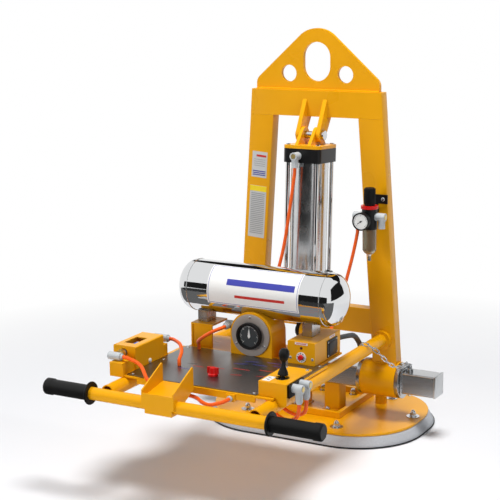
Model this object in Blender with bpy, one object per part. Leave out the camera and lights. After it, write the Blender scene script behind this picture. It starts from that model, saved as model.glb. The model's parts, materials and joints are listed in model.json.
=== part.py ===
"""Stone vacuum lifter: a hoist frame with a control frame in front of it and a tilting vacuum pad below.

Metres, +Z up. Every size is measured in the lifter frame, whose origin is the middle of the pad's tilt
axis, with +X to the operator's right and +Y away from the operator.
"""
import math

import bmesh
import bpy
from mathutils import Matrix, Vector

# Fits
FIT = 0.0003
RUNNING = 0.0006

# Hoist frame
TUBE_WALL = 0.003
FRAME_DEPTH = 0.030
LEG_WIDTH = 0.060
LEG_SPLAY = math.radians(4.0)
FRAME_TOP_Z = 0.668
FRAME_TOP_HALF = 0.165
CROSSBAR_HEIGHT = 0.060
LOWER_BAR_Z = 0.106
LOWER_BAR_HEIGHT = 0.060

# Lifting plate
PLATE_THICKNESS = 0.010
PLATE_HALF = 0.157
SHOULDER_HEIGHT = 0.0346
PLATE_CORNER = 0.022
HOOK_SLOT_WIDTH = 0.068
HOOK_SLOT_HEIGHT = 0.090
HOOK_SLOT_RISE = 0.065
APEX_RIM = 0.031
SIDE_HOLE_DIAMETER = 0.039
SIDE_HOLE_X = 0.072
SIDE_HOLE_RISE = 0.037

# Tilt axis, beam and bearings
BEAM_SIDE = 0.050
BEAM_WALL = 0.004
BEAM_HALF_LENGTH = 0.309
BEAM_CAP = 0.004
SLEEVE_RADIUS = 0.043
SLEEVE_LENGTH = 0.087
SLEEVE_INNER_X = 0.126
JOURNAL_RADIUS = 0.0375
FLANGE_RADIUS = 0.0420
FLANGE_THICKNESS = 0.009
PIN_HOLE_X = 0.236
PIN_HOLE_RADIUS = 0.0050
HITCH_PIN_RADIUS = 0.0045

# Vacuum pad
PAD_HALF_LENGTH = 0.2582
PAD_HALF_WIDTH = 0.1742
PAD_CORNER = 0.1497
PAD_OFFSET_Y = 0.0124
PAD_TOP_DROP = 0.0930
PAD_THICKNESS = 0.006
SEAL_HEIGHT = 0.0250
SEAL_FLARE = 0.0152
SEAL_LAND = 0.034
RIB_HALF_X = 0.090
RIB_FRONT_Y = -0.071
RIB_BACK_Y = 0.131
RIB_WIDTH = 0.010
RIB_HEIGHT = 0.015
POST_X = 0.045
POST_WIDTH = 0.040
POST_DEPTH = 0.040
PORT_X = 0.128
PORT_Y = 0.085
PORT_RADIUS = 0.014
PORT_HEIGHT = 0.030

# Tilt cylinder and crank
CLEVIS_PIN_Y = -0.038
CLEVIS_PIN_Z = 0.569
CLEVIS_PIN_RADIUS = 0.008
CRANK_RADIUS = 0.128
CRANK_ANGLE = math.radians(59.4)
CRANK_PIN_RADIUS = 0.010
CRANK_EYE = 0.022
CRANK_THICKNESS = 0.016
TILT_RANGE = math.radians(90.0)
EAR_GAP = 0.024
EAR_THICKNESS = 0.008
EAR_EYE = 0.018
LUG_THICKNESS = 0.010
LUG_EYE = 0.017
CYLINDER_SIDE = 0.094
CLEVIS_PLATE_DROP = 0.022
CLEVIS_PLATE_THICKNESS = 0.008
CAP_HEIGHT = 0.032
CAP_CORNER = 0.010
BARREL_LENGTH = 0.257
BARREL_RADIUS = 0.043
BORE_RADIUS = 0.040
TIE_ROD_RADIUS = 0.005
TIE_ROD_OFFSET = 0.0375
GLAND_RADIUS = 0.022
GLAND_LENGTH = 0.012
ROD_RADIUS = 0.0125
PISTON_THICKNESS = 0.026
FORK_DEPTH = 0.048
FORK_HALF = 0.014
FORK_BASE = 0.022
FORK_EAR = 0.008
HEAD_PORT_X = -0.008
HEAD_PORT_DROP = 0.016

# Control frame
ARM_X = 0.173
ARM_Z = 0.097
ARM_RADIUS = 0.015
ARM_WALL = 0.0025
ARM_COLLAR_RADIUS = 0.022
ARM_COLLAR_LENGTH = 0.010
HANDLEBAR_Y = -0.637
HANDLEBAR_Z = 0.091
HANDLEBAR_RADIUS = 0.01345
HANDLEBAR_WALL = 0.0026
ARM_FRONT_LIP = 0.006
GRIP_INNER_X = 0.208
GRIP_END_X = 0.3235
GRIP_RADIUS = 0.0162
GRIP_CAP_RADIUS = 0.0176
GRIP_CAP_LENGTH = 0.020
GRIP_END_WALL = 0.004
GRIP_DISC_RADIUS = 0.0245
GRIP_DISC_THICKNESS = 0.005

# Pendant holder on the handlebar
HOLDER_CENTRE_X = -0.036
HOLDER_WIDTH = 0.076
HOLDER_WALL = 0.003
HOLDER_FRONT_Y = -0.655
HOLDER_BACK_Y = -0.577
HOLDER_FRONT_TOP = 0.117
HOLDER_SIDE_TOP = 0.123
HOLDER_FRONT_BOTTOM = 0.088
HOLDER_BACK_TOP = 0.160
HOLDER_BACK_BOTTOM = 0.113
HOLDER_FLOOR_BACK = 0.118
SADDLE_BOTTOM = 0.0745
SADDLE_INSET = 0.006

# Control panel
TRAY_HALF_WIDTH = 0.180
TRAY_FRONT_Y = -0.571
TRAY_BACK_Y = -0.322
TRAY_THICKNESS = 0.004
TRAY_LIP = 0.010
TRAY_REAR_Y = -0.212
TRAY_REAR_LEFT_X = -0.166
TRAY_REAR_RIGHT_X = 0.162
UNION_SIDE = 0.020
FRONT_UNION_X = 0.085
REAR_UNION_X = -0.060
PANEL_THICKNESS = 0.002
PANEL_MARGIN = 0.004
KNOB_Y = -0.496
KNOB_RADIUS = 0.011
KNOB_HEIGHT = 0.018

# Hand slide valve in its guard
BASE_LEFT_X = -0.205
BASE_RIGHT_X = -0.172
BASE_FRONT_Y = -0.575
BASE_BACK_Y = -0.400
BASE_HEIGHT = 0.0305
GUARD_LEFT_X = -0.225
GUARD_FRONT_Y = -0.530
GUARD_BACK_Y = -0.420
GUARD_TOP_Z = 0.167
GUARD_WALL = 0.0025
WINDOW_LEFT_X = -0.213
WINDOW_RIGHT_X = -0.185
WINDOW_FRONT_Y = -0.508
WINDOW_BACK_Y = -0.458
SLIDE_X = -0.199
SLIDE_Z = 0.152
SLIDE_BODY_RADIUS = 0.0055
SLIDE_SLEEVE_RADIUS = 0.0088
SLIDE_SLEEVE_LENGTH = 0.030
SLIDE_TRAVEL = 0.010
GUARD_HOLE_RADIUS = 0.0090
SLIDE_NUT_RADIUS = 0.0088
SLIDE_ELBOW_RADIUS = 0.0085
FRONT_ELBOW_Y = -0.560
REAR_ELBOW_Y = -0.396
ELBOW_RADIUS = 0.0092
ELBOW_DROP = 0.026

# Hand lever valve
BRACKET_LEFT_X = 0.143
BRACKET_RIGHT_X = 0.206
BRACKET_FRONT_Y = -0.562
BRACKET_BACK_Y = -0.448
BRACKET_TOP_Z = 0.147
BRACKET_BOTTOM_Z = 0.098
BRACKET_WALL = 0.003
LEVER_X = 0.178
LEVER_Y = -0.525
LEVER_LENGTH = 0.060
LEVER_LEAN = math.radians(8.0)
LEVER_PIVOT_DROP = 0.008
LEVER_BALL_RADIUS = 0.008
LEVER_PORT_Y = 0.016
LEVER_PORT_DROP = 0.009
VALVE_HALF_WIDTH = 0.011
VALVE_LENGTH = 0.064

# Vacuum gauge
HOUSING_FRONT_Y = -0.332
HOUSING_DEPTH = 0.066
HOUSING_RADIUS = 0.051
HOUSING_CENTRE_Z = 0.165
HOUSING_WALL = 0.003
GAUGE_FLANGE_RADIUS = 0.039
GAUGE_FLANGE_THICKNESS = 0.003
GAUGE_RIM_RADIUS = 0.0265
GAUGE_RIM_LENGTH = 0.009
GAUGE_BODY_RADIUS = 0.024
GAUGE_BODY_LENGTH = 0.026
DIAL_DEPTH = 0.004
GAUGE_ELBOW = (-0.0460, -0.314, 0.178)

# Control box
CONTROL_LEFT_X = 0.094
CONTROL_RIGHT_X = 0.159
CONTROL_FRONT_Y = -0.341
CONTROL_BACK_Y = -0.215
CONTROL_TOP_Z = 0.168
BUTTON_X = 0.127
BUTTON_Z = 0.134
BUTTON_RADIUS = 0.0055
BUTTON_REACH = 0.006
BUTTON_RING_DEPTH = 0.002
BUTTON_TRAVEL = 0.003
BUTTON_RING_RADIUS = 0.0115

# Air tank
TANK_Y = -0.274
TANK_Z = 0.250
TANK_RADIUS = 0.058
TANK_HALF_LENGTH = 0.168
TANK_DOME = 0.034
TANK_WALL = 0.003
TANK_PORT_X = -0.050
TANK_PORT_RADIUS = 0.006
FOOT_WIDTH = 0.024
FOOT_DEPTH = 0.040
FOOT_FRONT_Y = -0.300
LEFT_FOOT_X = -0.141
RIGHT_FOOT_X = 0.1205
STAND_LEFT_X = -0.163
STAND_WIDTH = 0.056
STAND_DEPTH = 0.067
STAND_FRONT_Y = -0.315
STAND_TOP_Z = 0.171
STAND_WALL = 0.004

# Filter and regulator on the right leg
REGULATOR_X = 0.160
REGULATOR_Y = -0.063
REGULATOR_BODY_TOP = 0.414
REGULATOR_BODY_HEIGHT = 0.048
REGULATOR_BODY_RADIUS = 0.0175
REGULATOR_RING_RADIUS = 0.0200
REGULATOR_RING_HEIGHT = 0.006
REGULATOR_KNOB_RADIUS = 0.0125
REGULATOR_KNOB_HEIGHT = 0.040
BOWL_RADIUS = 0.0160
BOWL_HEIGHT = 0.057
BOWL_WALL = 0.002
DRAIN_LENGTH = 0.016
REGULATOR_PORT_Z = 0.395
SMALL_GAUGE_X = 0.154
SMALL_GAUGE_RADIUS = 0.0185
SMALL_GAUGE_LENGTH = 0.014
SMALL_GAUGE_Z = 0.388

# Hoses and chain
HOSE_RADIUS = 0.004
VACUUM_HOSE_RADIUS = 0.0060
CHAIN_RADIUS = 0.0035

# Round pieces
SEGMENTS = 32
SMALL_SEGMENTS = 20

# Places worked out from the sizes above
LEG_SLOPE = math.tan(LEG_SPLAY)
HALF_DEPTH = FRAME_DEPTH / 2
LEG_TOP_Z = FRAME_TOP_Z - CROSSBAR_HEIGHT
SLEEVE_OUTER_X = SLEEVE_INNER_X + SLEEVE_LENGTH
FLANGE_OUTER_X = SLEEVE_OUTER_X + RUNNING + FLANGE_THICKNESS
PAD_UNDERSIDE = -PAD_TOP_DROP - PAD_THICKNESS
FLOOR_Z = PAD_UNDERSIDE - FIT - SEAL_HEIGHT
SEAL_REACH_Y = PAD_OFFSET_Y + PAD_HALF_WIDTH + SEAL_FLARE
CRANK_PIN_Y = -CRANK_RADIUS * math.cos(CRANK_ANGLE)
CRANK_PIN_Z = CRANK_RADIUS * math.sin(CRANK_ANGLE)
CYLINDER_REACH = math.hypot(CLEVIS_PIN_Y - CRANK_PIN_Y, CLEVIS_PIN_Z - CRANK_PIN_Z)
CYLINDER_LEAN = math.atan2(CLEVIS_PIN_Y - CRANK_PIN_Y, CLEVIS_PIN_Z - CRANK_PIN_Z)
LEG_FACE_Y = -HALF_DEPTH
TRAY_BOTTOM_Z = ARM_Z + ARM_RADIUS + FIT
TRAY_TOP_Z = TRAY_BOTTOM_Z + TRAY_THICKNESS
PANEL_TOP_Z = TRAY_TOP_Z + FIT + PANEL_THICKNESS
BASE_TOP_Z = TRAY_BOTTOM_Z + BASE_HEIGHT
GUARD_RIGHT_X = BASE_RIGHT_X + FIT + GUARD_WALL
CONTROL_BOTTOM_Z = TRAY_TOP_Z + FIT
FRONT_REACH_Y = HANDLEBAR_Y - GRIP_DISC_RADIUS
SHIFT_Y = -(SEAL_REACH_Y + FRONT_REACH_Y) / 2


# Materials
def paint(name, colour, roughness, metallic=0.0):
    """A Principled material with one colour."""
    made = bpy.data.materials.new(name)
    made.use_nodes = True
    made.diffuse_color = (*colour, 1.0)
    shader = made.node_tree.nodes["Principled BSDF"]
    shader.inputs["Base Color"].default_value = (*colour, 1.0)
    shader.inputs["Roughness"].default_value = roughness
    shader.inputs["Metallic"].default_value = metallic
    return made


# Outlines, as lists of (u, v) points
def rectangle(u0, u1, v0, v1):
    return [(u0, v0), (u1, v0), (u1, v1), (u0, v1)]


def arc(centre, radius, start, end, count):
    """Points along an arc, angles in degrees, both ends included."""
    steps = [math.radians(start + (end - start) * i / count) for i in range(count + 1)]
    return [(centre[0] + radius * math.cos(a), centre[1] + radius * math.sin(a)) for a in steps]


def rounded_rectangle(centre, half_u, half_v, corner, count):
    """A rectangle whose corners are arcs of count steps."""
    points = []
    for quarter, (su, sv) in enumerate(((1, 1), (-1, 1), (-1, -1), (1, -1))):
        middle = (centre[0] + su * (half_u - corner), centre[1] + sv * (half_v - corner))
        points += arc(middle, corner, 90 * quarter, 90 * quarter + 90, count)
    return points


def hull(points):
    """The convex outline round a set of points."""
    ordered = sorted(set((round(u, 7), round(v, 7)) for u, v in points))

    def half(sequence):
        chain = []
        for p in sequence:
            while len(chain) > 1 and turn(chain[-2], chain[-1], p) <= 1e-12:
                chain.pop()
            chain.append(p)
        return chain[:-1]

    return half(ordered) + half(list(reversed(ordered)))


def turn(a, b, c):
    return (b[0] - a[0]) * (c[1] - a[1]) - (b[1] - a[1]) * (c[0] - a[0])


# Shapes, each one closed mesh in the lifter frame
AXES = {"X": (1, 2, 0), "Y": (0, 2, 1), "Z": (0, 1, 2)}


def prism(outline, axis, low, high):
    """An outline pushed along an axis from low to high."""
    u, v, w = AXES[axis]
    shape = bmesh.new()
    rings = []
    for level in (low, high):
        ring = []
        for point in outline:
            place = [0.0, 0.0, 0.0]
            place[u], place[v], place[w] = point[0], point[1], level
            ring.append(shape.verts.new(place))
        rings.append(ring)
    count = len(outline)
    shape.faces.new(rings[0])
    shape.faces.new(rings[1])
    for i in range(count):
        j = (i + 1) % count
        shape.faces.new((rings[0][i], rings[0][j], rings[1][j], rings[1][i]))
    bmesh.ops.recalc_face_normals(shape, faces=shape.faces)
    return shape


def block(x0, x1, y0, y1, z0, z1):
    return prism(rectangle(x0, x1, y0, y1), "Z", z0, z1)


def round_bar(axis, centre, radius, low, high, segments=SEGMENTS):
    """A cylinder along an axis. centre is its place in the plane across the axis."""
    return prism(arc(centre, radius, 0, 360, segments)[:-1], axis, low, high)


def turned(profile, axis, centre, segments=SEGMENTS):
    """A profile of (along, radius) points turned round an axis. Ends at radius 0 close to a point."""
    u, v, w = AXES[axis]
    shape = bmesh.new()
    rings = []
    for along, radius in profile:
        ring = []
        for i in range(segments if radius > 0 else 1):
            angle = 2 * math.pi * i / segments
            place = [0.0, 0.0, 0.0]
            place[u] = centre[0] + radius * math.cos(angle)
            place[v] = centre[1] + radius * math.sin(angle)
            place[w] = along
            ring.append(shape.verts.new(place))
        rings.append(ring)
    for ring in (rings[0], rings[-1]):
        if len(ring) > 1:
            shape.faces.new(ring)
    for near, far in zip(rings, rings[1:]):
        for i in range(segments):
            j = (i + 1) % segments
            corners = [near[i % len(near)], near[j % len(near)], far[j % len(far)], far[i % len(far)]]
            shape.faces.new(list(dict.fromkeys(corners)))
    bmesh.ops.recalc_face_normals(shape, faces=shape.faces)
    return shape


def moved(shape, matrix):
    bmesh.ops.transform(shape, matrix=matrix, verts=shape.verts)
    return shape


# Objects
def temporary(shape):
    mesh = bpy.data.meshes.new("shape")
    shape.to_mesh(mesh)
    shape.free()
    thing = bpy.data.objects.new("shape", mesh)
    bpy.context.scene.collection.objects.link(thing)
    return thing


def combine(body, shape, operation):
    """Join a shape to a body, or cut it out, with one Boolean whose result stays in the mesh."""
    tool = temporary(shape)
    step = body.modifiers.new("combine", "BOOLEAN")
    step.operation = operation
    step.object = tool
    bpy.context.view_layer.update()
    graph = bpy.context.evaluated_depsgraph_get()
    result = bpy.data.meshes.new_from_object(body.evaluated_get(graph))
    body.modifiers.clear()
    body.data = result
    bpy.data.objects.remove(tool)


def part(name, finish, shapes, cuts=(), origin=(0, 0, 0), parent=None, sharp=40):
    """One named piece: its shapes joined, its cuts taken out and its origin put on its own axis."""
    body = temporary(shapes[0])
    for shape in shapes[1:]:
        combine(body, shape, "UNION")
    for shape in cuts:
        combine(body, shape, "DIFFERENCE")
    body.name = name
    body.data.name = name
    body.data.transform(Matrix.Translation(-Vector(origin)))
    body.location = origin
    body.parent = parent or LIFTER
    body.data.materials.clear()
    body.data.materials.append(finish)
    body.data.shade_smooth()
    body.data.set_sharp_from_angle(angle=math.radians(sharp))
    return body


def smooth_route(route, spacing):
    """Evenly spaced points on a smooth curve through the route, whose two end pieces stay straight."""
    points = [Vector(p) for p in route]
    fine = []
    for a, b, c, d in zip(points, points[1:], points[2:], points[3:]):
        for i in range(24):
            t = i / 24
            fine.append(0.5 * (2 * b + (c - a) * t + (2 * a - 5 * b + 4 * c - d) * t * t
                               + (3 * b - a - 3 * c + d) * t * t * t))
    fine.append(points[-2])
    length = sum((q - p).length for p, q in zip(fine, fine[1:]))
    count = max(2, round(length / spacing))
    step, walked, result = length / count, 0.0, [points[0], fine[0]]
    for p, q in zip(fine, fine[1:]):
        piece = (q - p).length
        while len(result) <= count and walked + piece >= step * (len(result) - 1):
            result.append(p.lerp(q, (step * (len(result) - 1) - walked) / piece))
        walked += piece
    return result + [fine[-1], points[-1]]


def hose(name, finish, route, radius):
    """A round hose through its route, closed at both ends."""
    curve = bpy.data.curves.new(name, "CURVE")
    curve.dimensions = "3D"
    curve.bevel_depth = radius
    curve.bevel_resolution = 1
    curve.use_fill_caps = True
    points = smooth_route(route, radius * 5)
    spline = curve.splines.new("POLY")
    spline.points.add(len(points) - 1)
    for knot, place in zip(spline.points, points):
        knot.co = (*place, 1.0)
    made = bpy.data.objects.new(name, curve)
    curve.materials.append(finish)
    bpy.context.scene.collection.objects.link(made)
    made.parent = LIFTER
    return made


# Hoist frame
def leg_edge(z):
    """Distance from the middle to a leg's outer face at a height."""
    return FRAME_TOP_HALF + LEG_SLOPE * (FRAME_TOP_Z - z)


def leg_outline(side, low, high, inset):
    """A leg seen from the front, between two heights, shrunk by inset on each side."""
    outline = []
    for z, share in ((low, 0), (low, 1), (high, 1), (high, 0)):
        reach = leg_edge(z) - inset - share * (LEG_WIDTH - 2 * inset)
        outline.append((side * reach, z))
    return outline


def make_hoist_frame():
    sleeve_cut = SLEEVE_RADIUS + FIT
    inner_depth = HALF_DEPTH - TUBE_WALL
    for side, word in ((-1, "left"), (1, "right")):
        leg = leg_outline(side, 0.0, LEG_TOP_Z - FIT, 0.0)
        hollow = leg_outline(side, -0.02, LEG_TOP_Z + 0.02, TUBE_WALL)
        part(word + "_leg", PAINT, [prism(leg, "Y", -HALF_DEPTH, HALF_DEPTH)],
             [prism(hollow, "Y", -inner_depth, inner_depth),
              round_bar("X", (0, 0), sleeve_cut, side * 0.10, side * 0.26, 48)])
        part(word + "_sleeve", PAINT,
             [round_bar("X", (0, 0), SLEEVE_RADIUS, side * SLEEVE_INNER_X, side * SLEEVE_OUTER_X, 48)],
             [round_bar("X", (0, 0), JOURNAL_RADIUS + RUNNING, side * 0.10, side * 0.26, 48)])
    outline = [(-leg_edge(LEG_TOP_Z), LEG_TOP_Z), (leg_edge(LEG_TOP_Z), LEG_TOP_Z),
               (FRAME_TOP_HALF, FRAME_TOP_Z), (-FRAME_TOP_HALF, FRAME_TOP_Z)]
    inner = [(-leg_edge(LEG_TOP_Z) + TUBE_WALL, LEG_TOP_Z + TUBE_WALL),
             (leg_edge(LEG_TOP_Z) - TUBE_WALL, LEG_TOP_Z + TUBE_WALL),
             (FRAME_TOP_HALF - TUBE_WALL, FRAME_TOP_Z - TUBE_WALL),
             (TUBE_WALL - FRAME_TOP_HALF, FRAME_TOP_Z - TUBE_WALL)]
    cuts = [prism(inner, "Y", -inner_depth, inner_depth)]
    for side in (-1, 1):
        mouth = leg_outline(side, LEG_TOP_Z - 0.01, LEG_TOP_Z + 2 * TUBE_WALL, TUBE_WALL)
        cuts.append(prism(mouth, "Y", -inner_depth, inner_depth))
    shapes = [prism(outline, "Y", -HALF_DEPTH, HALF_DEPTH)]
    part("top_crossbar", PAINT, shapes + [lug_shape(side) for side in (-1, 1)],
         cuts + [round_bar("X", (CLEVIS_PIN_Y, CLEVIS_PIN_Z), CLEVIS_PIN_RADIUS + FIT, -0.06, 0.06)])
    pin = (CLEVIS_PIN_Y, CLEVIS_PIN_Z)
    part("clevis_pin", STEEL, [round_bar("X", pin, CLEVIS_PIN_RADIUS, -0.036, 0.033),
                               round_bar("X", pin, CLEVIS_PIN_RADIUS + 0.003, 0.0315, 0.037)])
    make_lower_crossbar()
    make_lifting_plate()


def lug_shape(side):
    """One clevis lug, which hangs from the front and underside of the top crossbar."""
    inner = EAR_GAP / 2 + EAR_THICKNESS + RUNNING
    outline = hull([(LEG_FACE_Y + 0.001, FRAME_TOP_Z - 0.018), (0.010, LEG_TOP_Z + 0.001),
                    (LEG_FACE_Y + 0.001, LEG_TOP_Z + 0.001)]
                   + arc((CLEVIS_PIN_Y, CLEVIS_PIN_Z), LUG_EYE, 0, 360, 24))
    return prism(outline, "X", side * inner, side * (inner + LUG_THICKNESS))


def make_lower_crossbar():
    """The tube between the legs, cut to their slope and open at both ends."""
    low, high = LOWER_BAR_Z, LOWER_BAR_Z + LOWER_BAR_HEIGHT
    reach = [leg_edge(z) - LEG_WIDTH - FIT for z in (low, high)]
    outline = [(-reach[0], low), (reach[0], low), (reach[1], high), (-reach[1], high)]
    part("lower_crossbar", PAINT, [prism(outline, "Y", -HALF_DEPTH, HALF_DEPTH)],
         [block(-0.2, 0.2, TUBE_WALL - HALF_DEPTH, HALF_DEPTH - TUBE_WALL,
                low + TUBE_WALL, high - TUBE_WALL)])


def make_lifting_plate():
    """The flat plate on top, with the hook slot and two round holes."""
    base = FRAME_TOP_Z + FIT
    slot_radius = HOOK_SLOT_WIDTH / 2
    slot_half = HOOK_SLOT_HEIGHT / 2 - slot_radius
    slot_z = base + HOOK_SLOT_RISE
    crown = arc((0, slot_z + slot_half), slot_radius + APEX_RIM, 0, 180, 24)
    corner = PLATE_CORNER
    sides = []
    for side in (-1, 1):
        middle = (side * (PLATE_HALF - corner), base + SHOULDER_HEIGHT - corner)
        start = 45 - 45 * side
        sides += arc(middle, corner, start, start + 90, 8)
        sides.append((side * PLATE_HALF, base))
    slot = (arc((0, slot_z + slot_half), slot_radius, 0, 180, 16)
            + arc((0, slot_z - slot_half), slot_radius, 180, 360, 16))
    half = PLATE_THICKNESS / 2
    cuts = [prism(slot, "Y", -0.05, 0.05)]
    for side in (-1, 1):
        cuts.append(round_bar("Y", (side * SIDE_HOLE_X, base + SIDE_HOLE_RISE),
                              SIDE_HOLE_DIAMETER / 2, -0.05, 0.05))
    part("lifting_plate", PAINT, [prism(hull(crown + sides), "Y", -half, half)], cuts)


# Beam, bearings and pad, which turn together about the tilt axis
def make_beam():
    half = BEAM_SIDE / 2
    inner = half - BEAM_WALL
    outline = rounded_rectangle((0, 0), half, half, 0.004, 3)
    cuts = [block(BEAM_CAP - BEAM_HALF_LENGTH, BEAM_HALF_LENGTH - BEAM_CAP, -inner, inner, -inner, inner)]
    for side in (-1, 1):
        cuts.append(round_bar("Z", (side * PIN_HOLE_X, 0), PIN_HOLE_RADIUS, -0.05, 0.05, SMALL_SEGMENTS))
    part("beam", STEEL, [prism(outline, "X", -BEAM_HALF_LENGTH, BEAM_HALF_LENGTH)], cuts)
    for side, word in ((-1, "left"), (1, "right")):
        start = SLEEVE_INNER_X - RUNNING - FLANGE_THICKNESS
        shoulder = SLEEVE_OUTER_X + RUNNING
        profile = [(side * start, FLANGE_RADIUS), (side * (SLEEVE_INNER_X - RUNNING), FLANGE_RADIUS),
                   (side * (SLEEVE_INNER_X - RUNNING), JOURNAL_RADIUS),
                   (side * shoulder, JOURNAL_RADIUS), (side * shoulder, FLANGE_RADIUS),
                   (side * FLANGE_OUTER_X, FLANGE_RADIUS)]
        part(word + "_journal", STEEL, [turned(profile, "X", (0, 0), 48)],
             [block(-0.4, 0.4, -half - FIT, half + FIT, -half - FIT, half + FIT)])


def make_crank():
    """The lug that the cylinder's fork pushes, welded over the beam's front edge."""
    edge = BEAM_SIDE / 2 + FIT
    outline = hull([(-edge, -0.020), (0.022, edge)]
                   + arc((CRANK_PIN_Y, CRANK_PIN_Z), CRANK_EYE, 0, 360, 32))
    half = CRANK_THICKNESS / 2
    part("crank_lug", PAINT, [prism(outline, "X", -half, half)],
         [block(-half - 0.01, half + 0.01, -edge, 0.06, -0.06, edge),
          round_bar("X", (CRANK_PIN_Y, CRANK_PIN_Z), CRANK_PIN_RADIUS + FIT, -0.05, 0.05)])


def pad_outline(offset, steps=12):
    """The pad's outline, grown by offset."""
    return rounded_rectangle((0, PAD_OFFSET_Y), PAD_HALF_LENGTH + offset, PAD_HALF_WIDTH + offset,
                             PAD_CORNER + offset, steps)


def make_pad():
    top = -PAD_TOP_DROP
    part("pad_plate", PAINT, [prism(pad_outline(0.0), "Z", PAD_UNDERSIDE, top),
                              round_bar("Z", (PORT_X, PORT_Y), PORT_RADIUS, top - 0.001, top + PORT_HEIGHT)],
         [round_bar("Z", (PORT_X, PORT_Y), 0.005, PAD_UNDERSIDE - 0.01, top + PORT_HEIGHT - 0.004)])
    rings = [(-0.001, 0.0), (0.004, -0.004), (0.009, -0.014), (SEAL_FLARE, -SEAL_HEIGHT + 0.002),
             (SEAL_FLARE - 0.001, -SEAL_HEIGHT), (SEAL_FLARE - SEAL_LAND, -SEAL_HEIGHT),
             (SEAL_FLARE - SEAL_LAND - 0.006, 0.0)]
    seal = bmesh.new()
    loops = []
    for offset, drop in rings:
        level = PAD_UNDERSIDE - FIT + drop
        loops.append([seal.verts.new((x, y, level)) for x, y in pad_outline(offset)])
    count = len(loops[0])
    for near, far in zip(loops, loops[1:] + loops[:1]):
        for i in range(count):
            j = (i + 1) % count
            seal.faces.new((near[i], near[j], far[j], far[i]))
    bmesh.ops.recalc_face_normals(seal, faces=seal.faces)
    part("pad_seal", RUBBER, [seal])


def make_cradle():
    """The rib frame on the pad and the two posts that carry it from the beam."""
    foot = FIT - PAD_TOP_DROP
    outer = rectangle(-RIB_HALF_X, RIB_HALF_X, RIB_FRONT_Y, RIB_BACK_Y)
    inner = rectangle(RIB_WIDTH - RIB_HALF_X, RIB_HALF_X - RIB_WIDTH,
                      RIB_FRONT_Y + RIB_WIDTH, RIB_BACK_Y - RIB_WIDTH)
    part("rib_frame", PAINT, [prism(outer, "Z", foot, foot + RIB_HEIGHT)],
         [prism(inner, "Z", foot - 0.01, foot + RIB_HEIGHT + 0.01)])
    head = -BEAM_SIDE / 2 - FIT
    half_u, half_v = POST_WIDTH / 2, POST_DEPTH / 2
    for side, word in ((-1, "left"), (1, "right")):
        place = (side * POST_X, 0.0)
        part(word + "_post", PAINT,
             [prism(rounded_rectangle(place, half_u, half_v, 0.004, 3), "Z", foot, head)],
             [block(place[0] - half_u + TUBE_WALL, place[0] + half_u - TUBE_WALL,
                    TUBE_WALL - half_v, half_v - TUBE_WALL, foot - 0.01, head + 0.01)])


def make_hitch_pin():
    """The pin through the beam outside the right bearing, with a wire bow over its head."""
    radius = HITCH_PIN_RADIUS
    top = BEAM_SIDE / 2
    profile = [(-top - 0.012, 0.0), (-top - 0.010, radius - 0.001), (-top - 0.006, radius),
               (top + FIT, radius), (top + FIT, radius + 0.004), (top + 0.006, radius + 0.004),
               (top + 0.006, radius + 0.001), (top + 0.014, radius + 0.001), (top + 0.014, 0.0)]
    place = (PIN_HOLE_X, 0.0, top)
    part("hitch_pin", CHROME, [turned(profile, "Z", (PIN_HOLE_X, 0.0), SMALL_SEGMENTS)], origin=place)


# Tilt cylinder, drawn upright below its pin and then leaned with its parent
def make_cylinder():
    holder = bpy.data.objects.new("cylinder_pivot", None)
    bpy.context.scene.collection.objects.link(holder)
    holder.parent = LIFTER
    holder.location = (0.0, CLEVIS_PIN_Y, CLEVIS_PIN_Z)
    holder.rotation_euler = (-CYLINDER_LEAN, 0.0, 0.0)
    half = CYLINDER_SIDE / 2
    square = rounded_rectangle((0, 0), half, half, CAP_CORNER, 4)
    plate_top = -CLEVIS_PLATE_DROP
    cap_top = plate_top - CLEVIS_PLATE_THICKNESS - FIT
    barrel_top = cap_top - CAP_HEIGHT
    barrel_end = barrel_top - BARREL_LENGTH
    foot_end = barrel_end - CAP_HEIGHT
    make_cylinder_clevis(holder, square, plate_top)
    port = (HEAD_PORT_X, -half + 0.002, cap_top - HEAD_PORT_DROP)
    elbow = elbow_shapes(port, (0, -1, 0), (0, 0, -1), 0.016, ELBOW_DROP)
    part("head_cap", BLACK, [prism(square, "Z", barrel_top + FIT, cap_top)] + elbow, parent=holder)
    part("cylinder_tube", CHROME, [round_bar("Z", (0, 0), BARREL_RADIUS, barrel_end + FIT, barrel_top, 40)],
         [round_bar("Z", (0, 0), BORE_RADIUS, barrel_end - 0.01, barrel_top + 0.01, 40)], parent=holder)
    rods = []
    for u in (-1, 1):
        for v in (-1, 1):
            rods.append(round_bar("Z", (u * TIE_ROD_OFFSET, v * TIE_ROD_OFFSET), TIE_ROD_RADIUS,
                                  barrel_end - 0.002, barrel_top, 12))
    gland = round_bar("Z", (0, 0), GLAND_RADIUS, foot_end - GLAND_LENGTH, foot_end + 0.002)
    part("foot_cap", BLACK, [prism(square, "Z", foot_end, barrel_end), gland] + rods,
         [round_bar("Z", (0, 0), ROD_RADIUS + RUNNING, foot_end - 0.03, barrel_end + 0.01)], parent=holder)
    make_rod(holder, barrel_top)
    return holder


def make_cylinder_clevis(holder, square, plate_top):
    half = CYLINDER_SIDE / 2
    shapes = [prism(square, "Z", plate_top - CLEVIS_PLATE_THICKNESS, plate_top)]
    outline = hull([(-half + 0.006, plate_top - 0.001), (half - 0.006, plate_top - 0.001)]
                   + arc((0, 0), EAR_EYE, 0, 360, 24))
    for side in (-1, 1):
        inner = side * EAR_GAP / 2
        shapes.append(prism(outline, "X", inner, inner + side * EAR_THICKNESS))
    part("cylinder_clevis", PAINT, shapes,
         [round_bar("X", (0, 0), CLEVIS_PIN_RADIUS + FIT, -0.05, 0.05)], parent=holder)


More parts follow.
